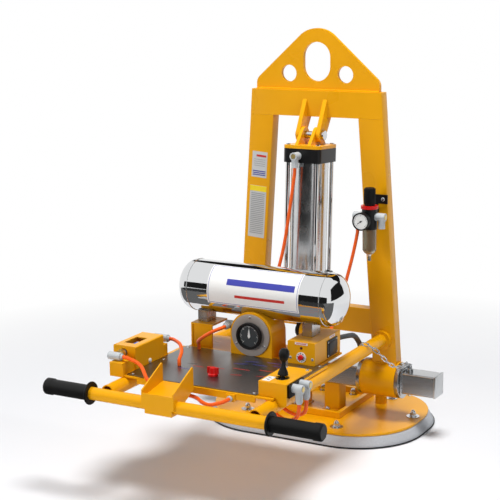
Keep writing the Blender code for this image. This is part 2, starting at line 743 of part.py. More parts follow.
def make_rod(holder, barrel_top):
    """The piston with its rod, and the fork that straddles the crank lug."""
    fork_top = -CYLINDER_REACH + FORK_DEPTH + FORK_BASE
    profile = [(barrel_top - 0.003, 0.0), (barrel_top - 0.003, BORE_RADIUS - RUNNING),
               (barrel_top - 0.003 - PISTON_THICKNESS, BORE_RADIUS - RUNNING),
               (barrel_top - 0.003 - PISTON_THICKNESS, ROD_RADIUS),
               (fork_top + FIT, ROD_RADIUS), (fork_top + FIT, 0.0)]
    part("piston_rod", CHROME, [turned(profile, "Z", (0, 0))], parent=holder)
    inner = CRANK_THICKNESS / 2 + RUNNING
    outer = inner + FORK_EAR
    pin_z = -CYLINDER_REACH
    ear = hull([(-FORK_HALF, pin_z + FORK_DEPTH), (FORK_HALF, pin_z + FORK_DEPTH)]
               + arc((0, pin_z), CRANK_EYE - 0.002, 0, 360, 24))
    shapes = [prism(ear, "X", -outer, -inner), prism(ear, "X", inner, outer)]
    base = block(-outer, outer, -FORK_HALF, FORK_HALF, pin_z + FORK_DEPTH - 0.001, fork_top)
    for side in (-1, 1):
        shapes.append(round_bar("X", (0, pin_z), CRANK_PIN_RADIUS + 0.003,
                                side * (outer - 0.001), side * (outer + 0.006)))
    part("rod_fork", BLACK, [base] + shapes, parent=holder)


def elbow_shapes(mouth, inlet, outlet, reach, drop):
    """A push-in elbow: a stub out of its port and a round body that takes the hose."""
    corner = Vector(mouth) + Vector(inlet) * reach
    out = Vector(outlet)
    return [tube_between(mouth, corner + Vector(inlet) * ELBOW_RADIUS, ELBOW_RADIUS),
            tube_between(corner, corner + out * drop, ELBOW_RADIUS * 0.85)]


def tube_between(start, end, radius, segments=16):
    """A round bar between two points."""
    start, end = Vector(start), Vector(end)
    along = end - start
    shape = round_bar("Z", (0, 0), radius, 0.0, along.length, segments)
    turn_to = along.to_track_quat("Z", "Y").to_matrix().to_4x4()
    return moved(shape, Matrix.Translation(start) @ turn_to)


# Control frame
def make_control_frame():
    for side, word in ((-1, "left"), (1, "right")):
        centre = (side * ARM_X, ARM_Z)
        back = LEG_FACE_Y - FIT
        front = HANDLEBAR_Y + ARM_FRONT_LIP
        part(word + "_arm", PAINT,
             [round_bar("Y", centre, ARM_RADIUS, front, back),
              round_bar("Y", centre, ARM_COLLAR_RADIUS, back - ARM_COLLAR_LENGTH, back)],
             [round_bar("Y", centre, ARM_RADIUS - ARM_WALL, front - 0.01, back + 0.01),
              round_bar("X", (HANDLEBAR_Y, HANDLEBAR_Z), HANDLEBAR_RADIUS + FIT, -0.25, 0.25)])
    bar = (HANDLEBAR_Y, HANDLEBAR_Z)
    reach = GRIP_END_X - GRIP_END_WALL - FIT
    part("handlebar", PAINT, [round_bar("X", bar, HANDLEBAR_RADIUS, -reach, reach)],
         [round_bar("X", bar, HANDLEBAR_RADIUS - HANDLEBAR_WALL, -reach - 0.01, reach + 0.01)])
    for side, word in ((-1, "left"), (1, "right")):
        make_grip(side, word, bar)
    make_holder(bar)


def make_grip(side, word, bar):
    """A rubber grip: a thumb disc, a plain barrel and a thicker end."""
    disc = GRIP_INNER_X + GRIP_DISC_THICKNESS
    cap = GRIP_END_X - GRIP_CAP_LENGTH
    profile = [(GRIP_INNER_X, 0.0), (GRIP_INNER_X, GRIP_DISC_RADIUS - 0.0015),
               (GRIP_INNER_X + 0.0015, GRIP_DISC_RADIUS), (disc - 0.0015, GRIP_DISC_RADIUS),
               (disc, GRIP_DISC_RADIUS - 0.0015), (disc, GRIP_RADIUS), (cap, GRIP_RADIUS),
               (cap + 0.002, GRIP_CAP_RADIUS), (GRIP_END_X - 0.003, GRIP_CAP_RADIUS),
               (GRIP_END_X, GRIP_CAP_RADIUS - 0.003), (GRIP_END_X, 0.0)]
    part(word + "_grip", GRIP, [turned([(side * x, r) for x, r in profile], "X", bar)],
         [round_bar("X", bar, HANDLEBAR_RADIUS + FIT, side * (GRIP_INNER_X - 0.01),
                    side * (GRIP_END_X - GRIP_END_WALL))])


def make_holder(bar):
    """The rising channel that holds the hoist pendant, clamped on the handlebar."""
    left = HOLDER_CENTRE_X - HOLDER_WIDTH / 2
    right = HOLDER_CENTRE_X + HOLDER_WIDTH / 2
    side_wall = [(HOLDER_FRONT_Y, HOLDER_FRONT_BOTTOM), (HOLDER_FRONT_Y + 0.030, HOLDER_FRONT_BOTTOM),
                 (HOLDER_BACK_Y, HOLDER_BACK_BOTTOM), (HOLDER_BACK_Y, HOLDER_BACK_TOP - 0.003),
                 (HOLDER_BACK_Y - 0.003, HOLDER_BACK_TOP), (HOLDER_FRONT_Y, HOLDER_SIDE_TOP)]
    floor_front = HANDLEBAR_Z + HANDLEBAR_RADIUS + 0.001
    floor = [(HOLDER_FRONT_Y + 0.001, floor_front), (HOLDER_BACK_Y, HOLDER_FLOOR_BACK),
             (HOLDER_BACK_Y, HOLDER_FLOOR_BACK + HOLDER_WALL),
             (HOLDER_FRONT_Y + 0.001, floor_front + HOLDER_WALL)]
    shapes = [prism(side_wall, "X", left, left + HOLDER_WALL),
              prism(side_wall, "X", right - HOLDER_WALL, right),
              prism(floor, "X", left + 0.001, right - 0.001),
              block(left, right, HOLDER_FRONT_Y, HOLDER_FRONT_Y + HOLDER_WALL,
                    HOLDER_FRONT_BOTTOM, HOLDER_FRONT_TOP),
              block(left + SADDLE_INSET, right - SADDLE_INSET, HOLDER_FRONT_Y + 0.002, HOLDER_FRONT_Y + 0.034,
                    SADDLE_BOTTOM, HOLDER_FRONT_BOTTOM + 0.001)]
    part("pendant_holder", PAINT, shapes, [round_bar("X", bar, HANDLEBAR_RADIUS + FIT, -0.2, 0.2)])


# Panel tray and the printed steel panel on it
def make_panel():
    lip = TRAY_BOTTOM_Z - TRAY_LIP
    wall = TRAY_THICKNESS
    half = UNION_SIDE / 2
    shapes = [block(-TRAY_HALF_WIDTH, TRAY_HALF_WIDTH, TRAY_FRONT_Y, TRAY_BACK_Y,
                    TRAY_BOTTOM_Z, TRAY_TOP_Z),
              block(TRAY_REAR_LEFT_X, TRAY_REAR_RIGHT_X, TRAY_BACK_Y - 0.001, TRAY_REAR_Y,
                    TRAY_BOTTOM_Z, TRAY_TOP_Z),
              block(-0.140, BRACKET_LEFT_X - 0.003, TRAY_FRONT_Y, TRAY_FRONT_Y + wall,
                    lip, TRAY_BOTTOM_Z + 0.001),
              block(BASE_LEFT_X, BASE_RIGHT_X, BASE_FRONT_Y, BASE_BACK_Y, TRAY_BOTTOM_Z, BASE_TOP_Z),
              block(FRONT_UNION_X - half, FRONT_UNION_X + half, TRAY_FRONT_Y - 0.004, TRAY_FRONT_Y + 0.016,
                    lip - 0.004, TRAY_BOTTOM_Z + 0.001),
              block(REAR_UNION_X - half, REAR_UNION_X + half, TRAY_REAR_Y - UNION_SIDE, TRAY_REAR_Y - 0.001,
                    TRAY_TOP_Z - 0.001, TRAY_TOP_Z + UNION_SIDE)]
    part("panel_tray", PAINT, shapes)
    make_panel_plate()
    make_release_knob()


def make_panel_plate():
    """The steel plate, cut round the boxes that stand on the tray."""
    left, back = GUARD_RIGHT_X + 0.001, TRAY_BACK_Y - PANEL_MARGIN
    front = TRAY_FRONT_Y + PANEL_MARGIN
    step_x, step_y = BRACKET_LEFT_X - 0.002, BRACKET_BACK_Y + 0.002
    right = TRAY_HALF_WIDTH - PANEL_MARGIN
    outline = [(left, front), (step_x, front), (step_x, step_y), (right, step_y), (right, back), (left, back)]
    low, high = TRAY_TOP_Z - 0.01, PANEL_TOP_Z + 0.01
    cuts = [block(-HOUSING_RADIUS - 0.001, HOUSING_RADIUS + 0.001, HOUSING_FRONT_Y - 0.001, -0.2, low, high),
            block(CONTROL_LEFT_X - 0.001, CONTROL_RIGHT_X + 0.001, CONTROL_FRONT_Y - 0.001, -0.2, low, high)]
    part("panel_plate", PANEL, [prism(outline, "Z", TRAY_TOP_Z + FIT, PANEL_TOP_Z)], cuts)


def make_release_knob():
    radius = KNOB_RADIUS
    bottom = PANEL_TOP_Z + FIT
    top = bottom + KNOB_HEIGHT
    profile = [(bottom, 0.0), (bottom, radius), (bottom + 0.004, radius), (bottom + 0.006, radius * 0.78),
               (top - 0.002, radius * 0.62), (top, radius * 0.5), (top, 0.0)]
    bar = block(-radius * 1.15, radius * 1.15, KNOB_Y - 0.0028, KNOB_Y + 0.0028, bottom + 0.0045, top)
    part("release_knob", RED, [turned(profile, "Z", (0, KNOB_Y), 24), bar], origin=(0, KNOB_Y, PANEL_TOP_Z))


# Hand slide valve in its guard
def make_slide_valve():
    """The guard, the valve inside it with its fittings, and the sleeve that the hand slides."""
    low = TRAY_TOP_Z + FIT
    wall = GUARD_WALL
    top = GUARD_TOP_Z
    outline = [(GUARD_LEFT_X, low), (GUARD_LEFT_X + wall, low), (GUARD_LEFT_X + wall, top - wall),
               (GUARD_RIGHT_X - wall, top - wall), (GUARD_RIGHT_X - wall, low), (GUARD_RIGHT_X, low),
               (GUARD_RIGHT_X, top - 0.002), (GUARD_RIGHT_X - 0.002, top),
               (GUARD_LEFT_X + 0.002, top), (GUARD_LEFT_X, top - 0.002)]
    axis = (SLIDE_X, SLIDE_Z)
    front, back = GUARD_FRONT_Y, GUARD_BACK_Y
    ends = [block(GUARD_LEFT_X + 0.001, GUARD_RIGHT_X - 0.001, y, y + wall, BASE_TOP_Z + FIT, top - 0.001)
            for y in (front, back - wall)]
    part("valve_guard", PAINT, [prism(outline, "Y", front, back)] + ends,
         [block(WINDOW_LEFT_X, WINDOW_RIGHT_X, WINDOW_FRONT_Y, WINDOW_BACK_Y, top - 0.01, top + 0.01),
          round_bar("Y", axis, GUARD_HOLE_RADIUS, front - 0.01, back + 0.01, SMALL_SEGMENTS)])
    core = round_bar("Y", axis, SLIDE_BODY_RADIUS, FRONT_ELBOW_Y, REAR_ELBOW_Y, SMALL_SEGMENTS)
    feet = [block(SLIDE_X - 0.006, SLIDE_X + 0.006, y0, y1, BASE_TOP_Z + FIT, SLIDE_Z)
            for y0, y1 in ((front + wall + 0.001, WINDOW_FRONT_Y - 0.002),
                           (WINDOW_BACK_Y + 0.004, back - wall - 0.001))]
    elbows = [round_bar("X", (y, SLIDE_Z), SLIDE_ELBOW_RADIUS, SLIDE_X - left, SLIDE_X + right,
                        SMALL_SEGMENTS)
              for y, left, right in ((FRONT_ELBOW_Y, 0.016, 0.014), (REAR_ELBOW_Y, 0.008, 0.026))]
    nuts = [round_bar("Y", axis, SLIDE_NUT_RADIUS, y, y + 0.009, SMALL_SEGMENTS)
            for y in (front - 0.014, back + 0.003)]
    part("slide_valve", FITTING, [core] + feet + elbows + nuts)
    middle = (WINDOW_FRONT_Y + WINDOW_BACK_Y) / 2 - SLIDE_TRAVEL / 2
    half = SLIDE_SLEEVE_LENGTH / 2
    full, waist = SLIDE_SLEEVE_RADIUS, SLIDE_SLEEVE_RADIUS - 0.0015
    profile = [(middle - half, full - 0.001), (middle - half + 0.001, full), (middle - 0.004, full),
               (middle - 0.003, waist), (middle + 0.003, waist), (middle + 0.004, full),
               (middle + half - 0.001, full), (middle + half, full - 0.001)]
    part("slide_sleeve", BLUE, [turned(profile, "Y", axis, 24)],
         [round_bar("Y", axis, SLIDE_BODY_RADIUS + FIT, -0.7, -0.3, SMALL_SEGMENTS)],
         origin=(SLIDE_X, middle, SLIDE_Z))


# Hand lever valve
def make_lever_valve():
    """The bent bracket on the right arm and the valve with its two elbows below it."""
    wall, top = BRACKET_WALL, BRACKET_TOP_Z
    left, right = BRACKET_LEFT_X, BRACKET_RIGHT_X
    front, back = BRACKET_FRONT_Y, BRACKET_BACK_Y
    corner = arc((right - 0.010, BRACKET_BOTTOM_Z + 0.010), 0.010, -90, 0, 6)
    face = [(left, top - 0.001), (left, BRACKET_BOTTOM_Z)] + corner + [(right, top - 0.001)]
    shapes = [block(left, right, front, back, top - wall, top),
              prism(face, "Y", front, front + wall),
              block(left, left + wall, front + 0.001, back, BRACKET_BOTTOM_Z + 0.01, top - 0.001)]
    slot = rounded_rectangle((LEVER_X, LEVER_Y), 0.010, 0.014, 0.006, 4)
    part("lever_bracket", PAINT, shapes,
         [prism(slot, "Z", top - 0.02, top + 0.02),
          round_bar("Y", (ARM_X, ARM_Z), ARM_RADIUS + FIT, -0.7, -0.3),
          block(-TRAY_HALF_WIDTH, TRAY_HALF_WIDTH + FIT, -0.8, -0.3, 0.05, TRAY_TOP_Z + FIT)])
    level = top - wall - FIT
    outer = right + 0.004
    shapes = [block(LEVER_X - VALVE_HALF_WIDTH, outer, LEVER_Y - VALVE_LENGTH / 2, LEVER_Y + VALVE_LENGTH / 2,
                    level - 0.026, level)]
    for y in (LEVER_Y - LEVER_PORT_Y, LEVER_Y + LEVER_PORT_Y):
        port = (outer - 0.001, y, level - LEVER_PORT_DROP)
        shapes += elbow_shapes(port, (1, 0, 0), (0, 0, -1), 0.014, ELBOW_DROP)
    part("lever_valve", BLACK, shapes,
         [round_bar("Z", (LEVER_X, LEVER_Y), LEVER_BALL_RADIUS + 1.5 * FIT,
                    top - LEVER_PIVOT_DROP - LEVER_BALL_RADIUS - 2 * FIT, level + 0.01, 32)])
    make_lever()


def make_lever():
    """The centring hand lever: a flared skirt over the slot, a thin stem and a bulb."""
    top = BRACKET_TOP_Z
    ball = [(top - LEVER_PIVOT_DROP - LEVER_BALL_RADIUS * math.cos(a), LEVER_BALL_RADIUS * math.sin(a))
            for a in [math.radians(step) for step in (0, 25, 50, 75, 90, 105, 130, 150)]]
    ball[0] = (ball[0][0], 0.0)
    profile = ball + [(top + 0.0056, 0.0040), (top + 0.0060, 0.0112),
               (top + 0.012, 0.0100), (top + 0.022, 0.0052), (top + 0.032, 0.0042), (top + 0.037, 0.0080),
               (top + 0.042, 0.0102), (top + 0.048, 0.0110), (top + 0.054, 0.0100),
               (top + LEVER_LENGTH - 0.001, 0.0062), (top + LEVER_LENGTH, 0.0)]
    handle = turned(profile, "Z", (0.0, 0.0), 20)
    pivot = LEVER_PIVOT_DROP
    lean = Matrix.Translation((LEVER_X, LEVER_Y, top - pivot)) @ Matrix.Rotation(-LEVER_LEAN, 4, "X")
    moved(handle, lean @ Matrix.Translation((0, 0, pivot - top)))
    part("lever_handle", GRIP, [handle], origin=(LEVER_X, LEVER_Y, top - pivot))


# Vacuum gauge
def make_gauge():
    """The bent housing on the tray, with its elbow on the left side."""
    radius = HOUSING_RADIUS
    low = TRAY_TOP_Z + FIT
    centre = (0.0, HOUSING_CENTRE_Z)
    front, back = HOUSING_FRONT_Y, HOUSING_FRONT_Y + HOUSING_DEPTH
    wall = HOUSING_WALL
    outer = arc(centre, radius, 0, 180, 24) + [(-radius, low), (radius, low)]
    inner = arc(centre, radius - wall, 0, 180, 24)
    inner += [(wall - radius, low - 0.01), (radius - wall, low - 0.01)]
    elbow = elbow_shapes(GAUGE_ELBOW, (-1, 0, 0), (0, -1, 0), 0.016, 0.020)
    part("gauge_housing", PAINT, [prism(outer, "Y", front, back)] + elbow,
         [prism(inner, "Y", front + wall, back + 0.01),
          round_bar("Y", centre, GAUGE_BODY_RADIUS + RUNNING, front - 0.01, front + 0.01),
          round_bar("X", (TANK_Y, TANK_Z), TANK_RADIUS + RUNNING, -0.1, 0.1, 48)])
    make_gauge_face(centre)


def make_gauge_face(centre):
    """The flanged gauge, with a sunk dial, and the needle that turns over the dial."""
    face = HOUSING_FRONT_Y - FIT
    flange = face - GAUGE_FLANGE_THICKNESS
    rim = flange - GAUGE_RIM_LENGTH
    dial = rim + DIAL_DEPTH
    bore = GAUGE_RIM_RADIUS - 0.003
    profile = [(dial, 0.0), (dial, bore), (rim, bore), (rim, GAUGE_RIM_RADIUS - 0.001),
               (rim + 0.001, GAUGE_RIM_RADIUS), (flange, GAUGE_RIM_RADIUS), (flange, GAUGE_FLANGE_RADIUS),
               (face, GAUGE_FLANGE_RADIUS), (face, GAUGE_BODY_RADIUS),
               (face + GAUGE_BODY_LENGTH, GAUGE_BODY_RADIUS), (face + GAUGE_BODY_LENGTH, 0.0)]
    part("vacuum_gauge", BLACK, [turned(profile, "Y", centre, 40)])
    outline = hull([(0.0, 0.017), (-0.0012, 0.004), (0.0012, 0.004), (0.0, -0.006)]
                   + arc((0, 0), 0.0032, 0, 360, 12))
    needle = [(centre[0] + u, centre[1] + v) for u, v in outline]
    part("gauge_needle", PANEL, [prism(needle, "Y", dial - 0.0014, dial - FIT)],
         origin=(centre[0], dial, centre[1]))


# Control box
def make_control_box():
    """The alarm box beside the gauge, with its round button."""
    left, right = CONTROL_LEFT_X, CONTROL_RIGHT_X
    low, high = CONTROL_BOTTOM_Z, CONTROL_TOP_Z
    front = CONTROL_FRONT_Y
    ring = front - BUTTON_RING_DEPTH
    end = front + 0.012
    outline = rounded_rectangle(((left + right) / 2, (low + high) / 2), (right - left) / 2, (high - low) / 2,
                                0.002, 2)
    button = (BUTTON_X, BUTTON_Z)
    part("control_box", PAINT,
         [prism(outline, "Y", front, CONTROL_BACK_Y),
          round_bar("Y", button, BUTTON_RING_RADIUS, ring, front + 0.002, 24)],
         [round_bar("Y", button, BUTTON_RADIUS + FIT, ring - 0.01, end, 24)])
    part("alarm_button", RED,
         [round_bar("Y", button, BUTTON_RADIUS, ring - BUTTON_REACH, end - BUTTON_TRAVEL - 0.001, 24)],
         origin=(BUTTON_X, ring, BUTTON_Z))


# Air tank
def tank_profile(wall):
    """Half an ellipse at each end of a straight shell."""
    points = [(TANK_HALF_LENGTH + TANK_DOME - wall, 0.0)]
    for i in range(1, 9):
        angle = math.pi / 2 * i / 8
        points.append((TANK_HALF_LENGTH + (TANK_DOME - wall) * math.cos(angle),
                       (TANK_RADIUS - wall) * math.sin(angle)))
    return points + [(-x, radius) for x, radius in reversed(points)]


def make_tank():
    """The air tank, hollow and open at its bottom port, on its two feet and the left foot's stand."""
    axis = (TANK_Y, TANK_Z)
    port = round_bar("Z", (TANK_PORT_X, TANK_Y), TANK_PORT_RADIUS, TANK_Z - TANK_RADIUS - 0.02, TANK_Z, 16)
    part("air_tank", CHROME, [turned(tank_profile(0.0), "X", axis, 40)],
         [turned(tank_profile(TANK_WALL), "X", axis, 40), port])
    half = FOOT_WIDTH / 2
    for x, low, word in ((LEFT_FOOT_X, STAND_TOP_Z, "left"), (RIGHT_FOOT_X, CONTROL_TOP_Z, "right")):
        part(word + "_tank_foot", FITTING,
             [block(x - half, x + half, FOOT_FRONT_Y, FOOT_FRONT_Y + FOOT_DEPTH, low + FIT,
                    TANK_Z - TANK_RADIUS + 0.008)],
             [round_bar("X", axis, TANK_RADIUS + FIT, x - 0.1, x + 0.1, 48)])
    left, right = STAND_LEFT_X, STAND_LEFT_X + STAND_WIDTH
    front, low, wall = STAND_FRONT_Y, TRAY_TOP_Z + FIT, STAND_WALL
    part("tank_stand", PAINT,
         [block(left, right, front, front + STAND_DEPTH, STAND_TOP_Z - wall, STAND_TOP_Z),
          block(left, left + wall, front, front + STAND_DEPTH, low, STAND_TOP_Z - 0.001),
          block(left + 0.001, right - 0.003, front + 0.003, front + 0.003 + wall, low, STAND_TOP_Z - 0.001)])


# Filter and regulator on the right leg
def make_regulator():
    """The regulator with its bracket, lock ring, small gauge and two elbows as one piece."""
    x, y = REGULATOR_X, REGULATOR_Y
    top = REGULATOR_BODY_TOP
    low = top - REGULATOR_BODY_HEIGHT
    gauge = (SMALL_GAUGE_X, SMALL_GAUGE_Z)
    face = y - REGULATOR_BODY_RADIUS - 0.004
    shapes = [round_bar("Z", (x, y), REGULATOR_BODY_RADIUS, low, top),
              block(x - 0.012, x + 0.004, y, LEG_FACE_Y - 0.003, top - 0.016, top - 0.006),
              block(x - 0.020, x, LEG_FACE_Y - 0.0035, LEG_FACE_Y - FIT, top - 0.020, top + 0.006),
              block(x - 0.020, x + 0.024, LEG_FACE_Y - 0.0035, LEG_FACE_Y - FIT, top + 0.003, top + 0.024),
              round_bar("Y", gauge, 0.008, face - 0.001, y, SMALL_SEGMENTS),
              round_bar("Y", gauge, SMALL_GAUGE_RADIUS, face - SMALL_GAUGE_LENGTH, face),
              round_bar("Z", (x, y), REGULATOR_RING_RADIUS, top - 0.001, top + REGULATOR_RING_HEIGHT)]
    for side in (-1, 1):
        mouth = (x + side * (REGULATOR_BODY_RADIUS - 0.002), y, REGULATOR_PORT_Z)
        shapes += elbow_shapes(mouth, (side, 0, 0), (0, 0, -1), 0.014, ELBOW_DROP)
    part("regulator_body", BLACK, shapes)
    knob = top + REGULATOR_RING_HEIGHT + FIT
    crest, radius = knob + REGULATOR_KNOB_HEIGHT, REGULATOR_KNOB_RADIUS
    profile = [(knob, 0.0), (knob, radius), (crest - 0.003, radius), (crest, radius - 0.002), (crest, 0.0)]
    part("regulator_knob", GRIP, [turned(profile, "Z", (x, y), 24)], origin=(x, y, knob))
    make_bowl((x, y), low - FIT)


def make_bowl(centre, top):
    """The clear bowl, hollow and open at the top, with its drain stub."""
    end = top - BOWL_HEIGHT
    outer = [(top, 0.0), (top, BOWL_RADIUS), (end + 0.010, BOWL_RADIUS), (end + 0.003, BOWL_RADIUS - 0.004),
             (end, BOWL_RADIUS - 0.008), (end, 0.004), (end - DRAIN_LENGTH, 0.004), (end - DRAIN_LENGTH, 0.0)]
    hollow = [(top + 0.01, 0.0), (top + 0.01, BOWL_RADIUS - BOWL_WALL),
              (end + 0.010, BOWL_RADIUS - BOWL_WALL), (end + 0.005, 0.0)]
    part("regulator_bowl", SMOKE, [turned(outer, "Z", centre, 24)], [turned(hollow, "Z", centre, 24)])


# Hoses and the pin's chain
def on_cylinder(point):
    """Where a point drawn on the upright cylinder lies once the cylinder leans."""
    lean = Matrix.Rotation(-CYLINDER_LEAN, 4, "X")
    return Matrix.Translation((0, CLEVIS_PIN_Y, CLEVIS_PIN_Z)) @ lean @ Vector(point)


def make_hoses():
    """Each hose starts and ends a fit away from its fitting, square to it."""
    lead = 0.012
    tray_under = TRAY_BOTTOM_Z - 2 * FIT
    panel = PANEL_TOP_Z + 2 * FIT
    port_z = REGULATOR_PORT_Z - ELBOW_DROP - FIT
    outlet_x = REGULATOR_X - REGULATOR_BODY_RADIUS + 0.002 - 0.014
    box_back = CONTROL_BACK_Y + FIT
    hose("regulator_hose", ORANGE,
         [(outlet_x, REGULATOR_Y, port_z), (outlet_x, REGULATOR_Y, port_z - lead), (0.122, -0.072, 0.300),
          (0.109, -0.095, 0.220), (0.104, -0.125, 0.170), (0.113, -0.168, 0.149),
          (0.127, box_back + lead, 0.146), (0.127, box_back, 0.146)], HOSE_RADIUS)
    elbow_y, elbow_z = FRONT_ELBOW_Y, SLIDE_Z
    elbow_x = SLIDE_X + 0.014 + FIT
    union_y = TRAY_FRONT_Y - 0.004 - FIT
    hose("slide_front_hose", ORANGE,
         [(elbow_x, elbow_y, elbow_z), (elbow_x + lead, elbow_y, elbow_z), (-0.137, -0.562, 0.141),
          (-0.108, -0.580, 0.119), (-0.088, -0.5795, 0.099), (-0.050, -0.566, 0.094), (-0.005, -0.566, 0.093),
          (0.030, -0.592, 0.094), (0.056, -0.607, 0.097), (0.077, -0.602, 0.102),
          (FRONT_UNION_X, union_y - lead, 0.1045), (FRONT_UNION_X, union_y, 0.1045)], HOSE_RADIUS)
    start = SLIDE_X + 0.026 + FIT
    hose("slide_rear_hose", ORANGE,
         [(start, REAR_ELBOW_Y, elbow_z), (start + lead, REAR_ELBOW_Y, elbow_z), (-0.132, -0.414, 0.150),
          (-0.112, -0.438, 0.142), (-0.101, -0.466, panel + lead), (-0.101, -0.466, panel)], HOSE_RADIUS)
    make_lever_hoses(tray_under, lead)
    spout = Vector(GAUGE_ELBOW) + Vector((-0.016, -0.020 - FIT, 0.0))
    hose("gauge_hose", ORANGE,
         [spout, spout + Vector((0, -lead, 0)), (-0.078, -0.360, 0.171), (-0.104, -0.360, 0.155),
          (-0.124, -0.348, 0.140), (-0.128, -0.340, panel + lead), (-0.128, -0.340, panel)], HOSE_RADIUS)
    cap_top = -CLEVIS_PLATE_DROP - CLEVIS_PLATE_THICKNESS - FIT
    nozzle = (HEAD_PORT_X, -CYLINDER_SIDE / 2 - 0.014, cap_top - HEAD_PORT_DROP - ELBOW_DROP - FIT)
    below = (nozzle[0], nozzle[1], nozzle[2] - lead)
    union_y = TRAY_REAR_Y - 0.001 + FIT
    hose("cylinder_hose", ORANGE,
         [on_cylinder(nozzle), on_cylinder(below), (-0.018, -0.112, 0.400), (-0.030, -0.122, 0.310),
          (-0.046, -0.148, 0.215), (-0.057, -0.175, 0.150), (REAR_UNION_X, union_y + lead, 0.127),
          (REAR_UNION_X, union_y, 0.127)], HOSE_RADIUS)
    port_top = PORT_HEIGHT - PAD_TOP_DROP + FIT
    hose("vacuum_hose", BLACK,
         [(0.146, box_back, 0.144), (0.146, box_back + lead, 0.144), (0.155, -0.170, 0.142),
          (0.156, -0.136, 0.134), (0.150, -0.096, 0.108), (0.136, -0.050, 0.076), (0.130, 0.0, 0.066),
          (0.128, 0.050, 0.042), (PORT_X, 0.080, -0.012), (PORT_X, PORT_Y, port_top + lead),
          (PORT_X, PORT_Y, port_top)], VACUUM_HOSE_RADIUS)
    rest = ARM_Z + ARM_RADIUS + CHAIN_RADIUS + FIT
    hose("pin_chain", STEEL,
         [(ARM_X, -0.130, rest), (ARM_X + 0.010, -0.128, rest), (0.204, -0.116, 0.098),
          (0.222, -0.088, 0.064), (0.233, -0.054, 0.047), (0.237, -0.026, 0.046),
          (PIN_HOLE_X, -0.014, 0.050)], CHAIN_RADIUS)


def make_lever_hoses(tray_under, lead):
    """The two hoses that hang under the right arm in a bow and rise to the tray."""
    x = BRACKET_RIGHT_X + 0.004 - 0.001 + 0.014
    low = BRACKET_TOP_Z - BRACKET_WALL - FIT - LEVER_PORT_DROP - ELBOW_DROP - FIT
    for word, y, dip in (("front", LEVER_Y - LEVER_PORT_Y, 0.060), ("back", LEVER_Y + LEVER_PORT_Y, 0.063)):
        hose("lever_hose_" + word, ORANGE,
             [(x, y, low), (x, y, low - lead), (x - 0.008, y + 0.006, 0.074), (0.190, y + 0.015, dip),
              (0.158, y + 0.025, dip + 0.006), (0.138, y + 0.030, 0.084),
              (0.133, y + 0.032, tray_under - lead), (0.133, y + 0.032, tray_under)], HOSE_RADIUS)


def main():
    for thing in list(bpy.data.objects):
        bpy.data.objects.remove(thing)
    global LIFTER
    LIFTER = bpy.data.objects.new("lifter", None)
    bpy.context.scene.collection.objects.link(LIFTER)
    LIFTER.location = (0.0, SHIFT_Y, -FLOOR_Z)
    make_hoist_frame()
    make_beam()
    make_crank()
    make_pad()
    make_cradle()
    make_hitch_pin()
    make_cylinder()
    make_control_frame()
    make_panel()
    make_slide_valve()
    make_lever_valve()
    make_gauge()
    make_control_box()
    make_tank()
    make_regulator()
    make_hoses()


LIFTER = None
PAINT = paint("yellow_paint", (0.80, 0.36, 0.01), 0.35)
STEEL = paint("bare_steel", (0.50, 0.50, 0.50), 0.35, 1.0)
CHROME = paint("chrome", (0.85, 0.85, 0.86), 0.08, 1.0)
PANEL = paint("brushed_panel", (0.60, 0.60, 0.62), 0.3, 1.0)
BLACK = paint("black_metal", (0.02, 0.02, 0.02), 0.5)
GRIP = paint("grip_rubber", (0.03, 0.03, 0.03), 0.7)
RUBBER = paint("seal_rubber", (0.50, 0.50, 0.51), 0.8)
FITTING = paint("grey_fitting", (0.45, 0.46, 0.47), 0.5)
ORANGE = paint("orange_hose", (0.85, 0.12, 0.02), 0.4)
RED = paint("red_plastic", (0.65, 0.02, 0.02), 0.4)
BLUE = paint("blue_sleeve", (0.05, 0.25, 0.75), 0.4)
SMOKE = paint("smoked_bowl", (0.35, 0.34, 0.30), 0.2)
main()
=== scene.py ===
"""The stone vacuum lifter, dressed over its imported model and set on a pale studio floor.

Places are millimetres in the lifter's own axes, which start in the middle of the pad's tilt axis:
x to the operator's right, y away from the operator and z up. Hose routes are in metres.
"""
import json
import math

import bmesh
import bpy
from mathutils import Matrix, Vector

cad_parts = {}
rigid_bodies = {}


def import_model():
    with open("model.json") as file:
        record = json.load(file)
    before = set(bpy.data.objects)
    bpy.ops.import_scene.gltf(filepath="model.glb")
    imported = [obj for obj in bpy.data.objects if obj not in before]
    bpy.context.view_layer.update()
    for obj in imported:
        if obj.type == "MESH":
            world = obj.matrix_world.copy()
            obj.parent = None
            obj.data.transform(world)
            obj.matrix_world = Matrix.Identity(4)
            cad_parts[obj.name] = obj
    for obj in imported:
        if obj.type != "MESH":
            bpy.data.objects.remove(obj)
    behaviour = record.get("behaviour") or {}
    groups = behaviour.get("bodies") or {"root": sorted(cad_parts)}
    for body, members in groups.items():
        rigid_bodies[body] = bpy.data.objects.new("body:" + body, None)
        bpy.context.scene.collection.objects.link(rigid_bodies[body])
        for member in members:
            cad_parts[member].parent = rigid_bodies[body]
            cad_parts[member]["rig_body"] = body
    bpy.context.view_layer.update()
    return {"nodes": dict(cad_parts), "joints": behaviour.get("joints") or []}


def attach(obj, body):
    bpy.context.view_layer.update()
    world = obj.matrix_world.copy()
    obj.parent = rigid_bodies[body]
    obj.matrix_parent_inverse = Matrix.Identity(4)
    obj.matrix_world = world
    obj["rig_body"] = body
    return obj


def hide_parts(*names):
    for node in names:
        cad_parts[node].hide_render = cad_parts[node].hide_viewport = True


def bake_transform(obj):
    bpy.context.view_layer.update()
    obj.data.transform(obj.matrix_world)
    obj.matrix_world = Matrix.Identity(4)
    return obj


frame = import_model()


# Camera
# The photograph is taken from the operator's right, a little above the lifter's top, with a long lens.
# It looks down by 12 degrees, and is level across to within a degree.
tilt_axis = Vector(next(joint["pos_m"] for joint in frame["joints"] if joint["name"] == "pad_tilt"))


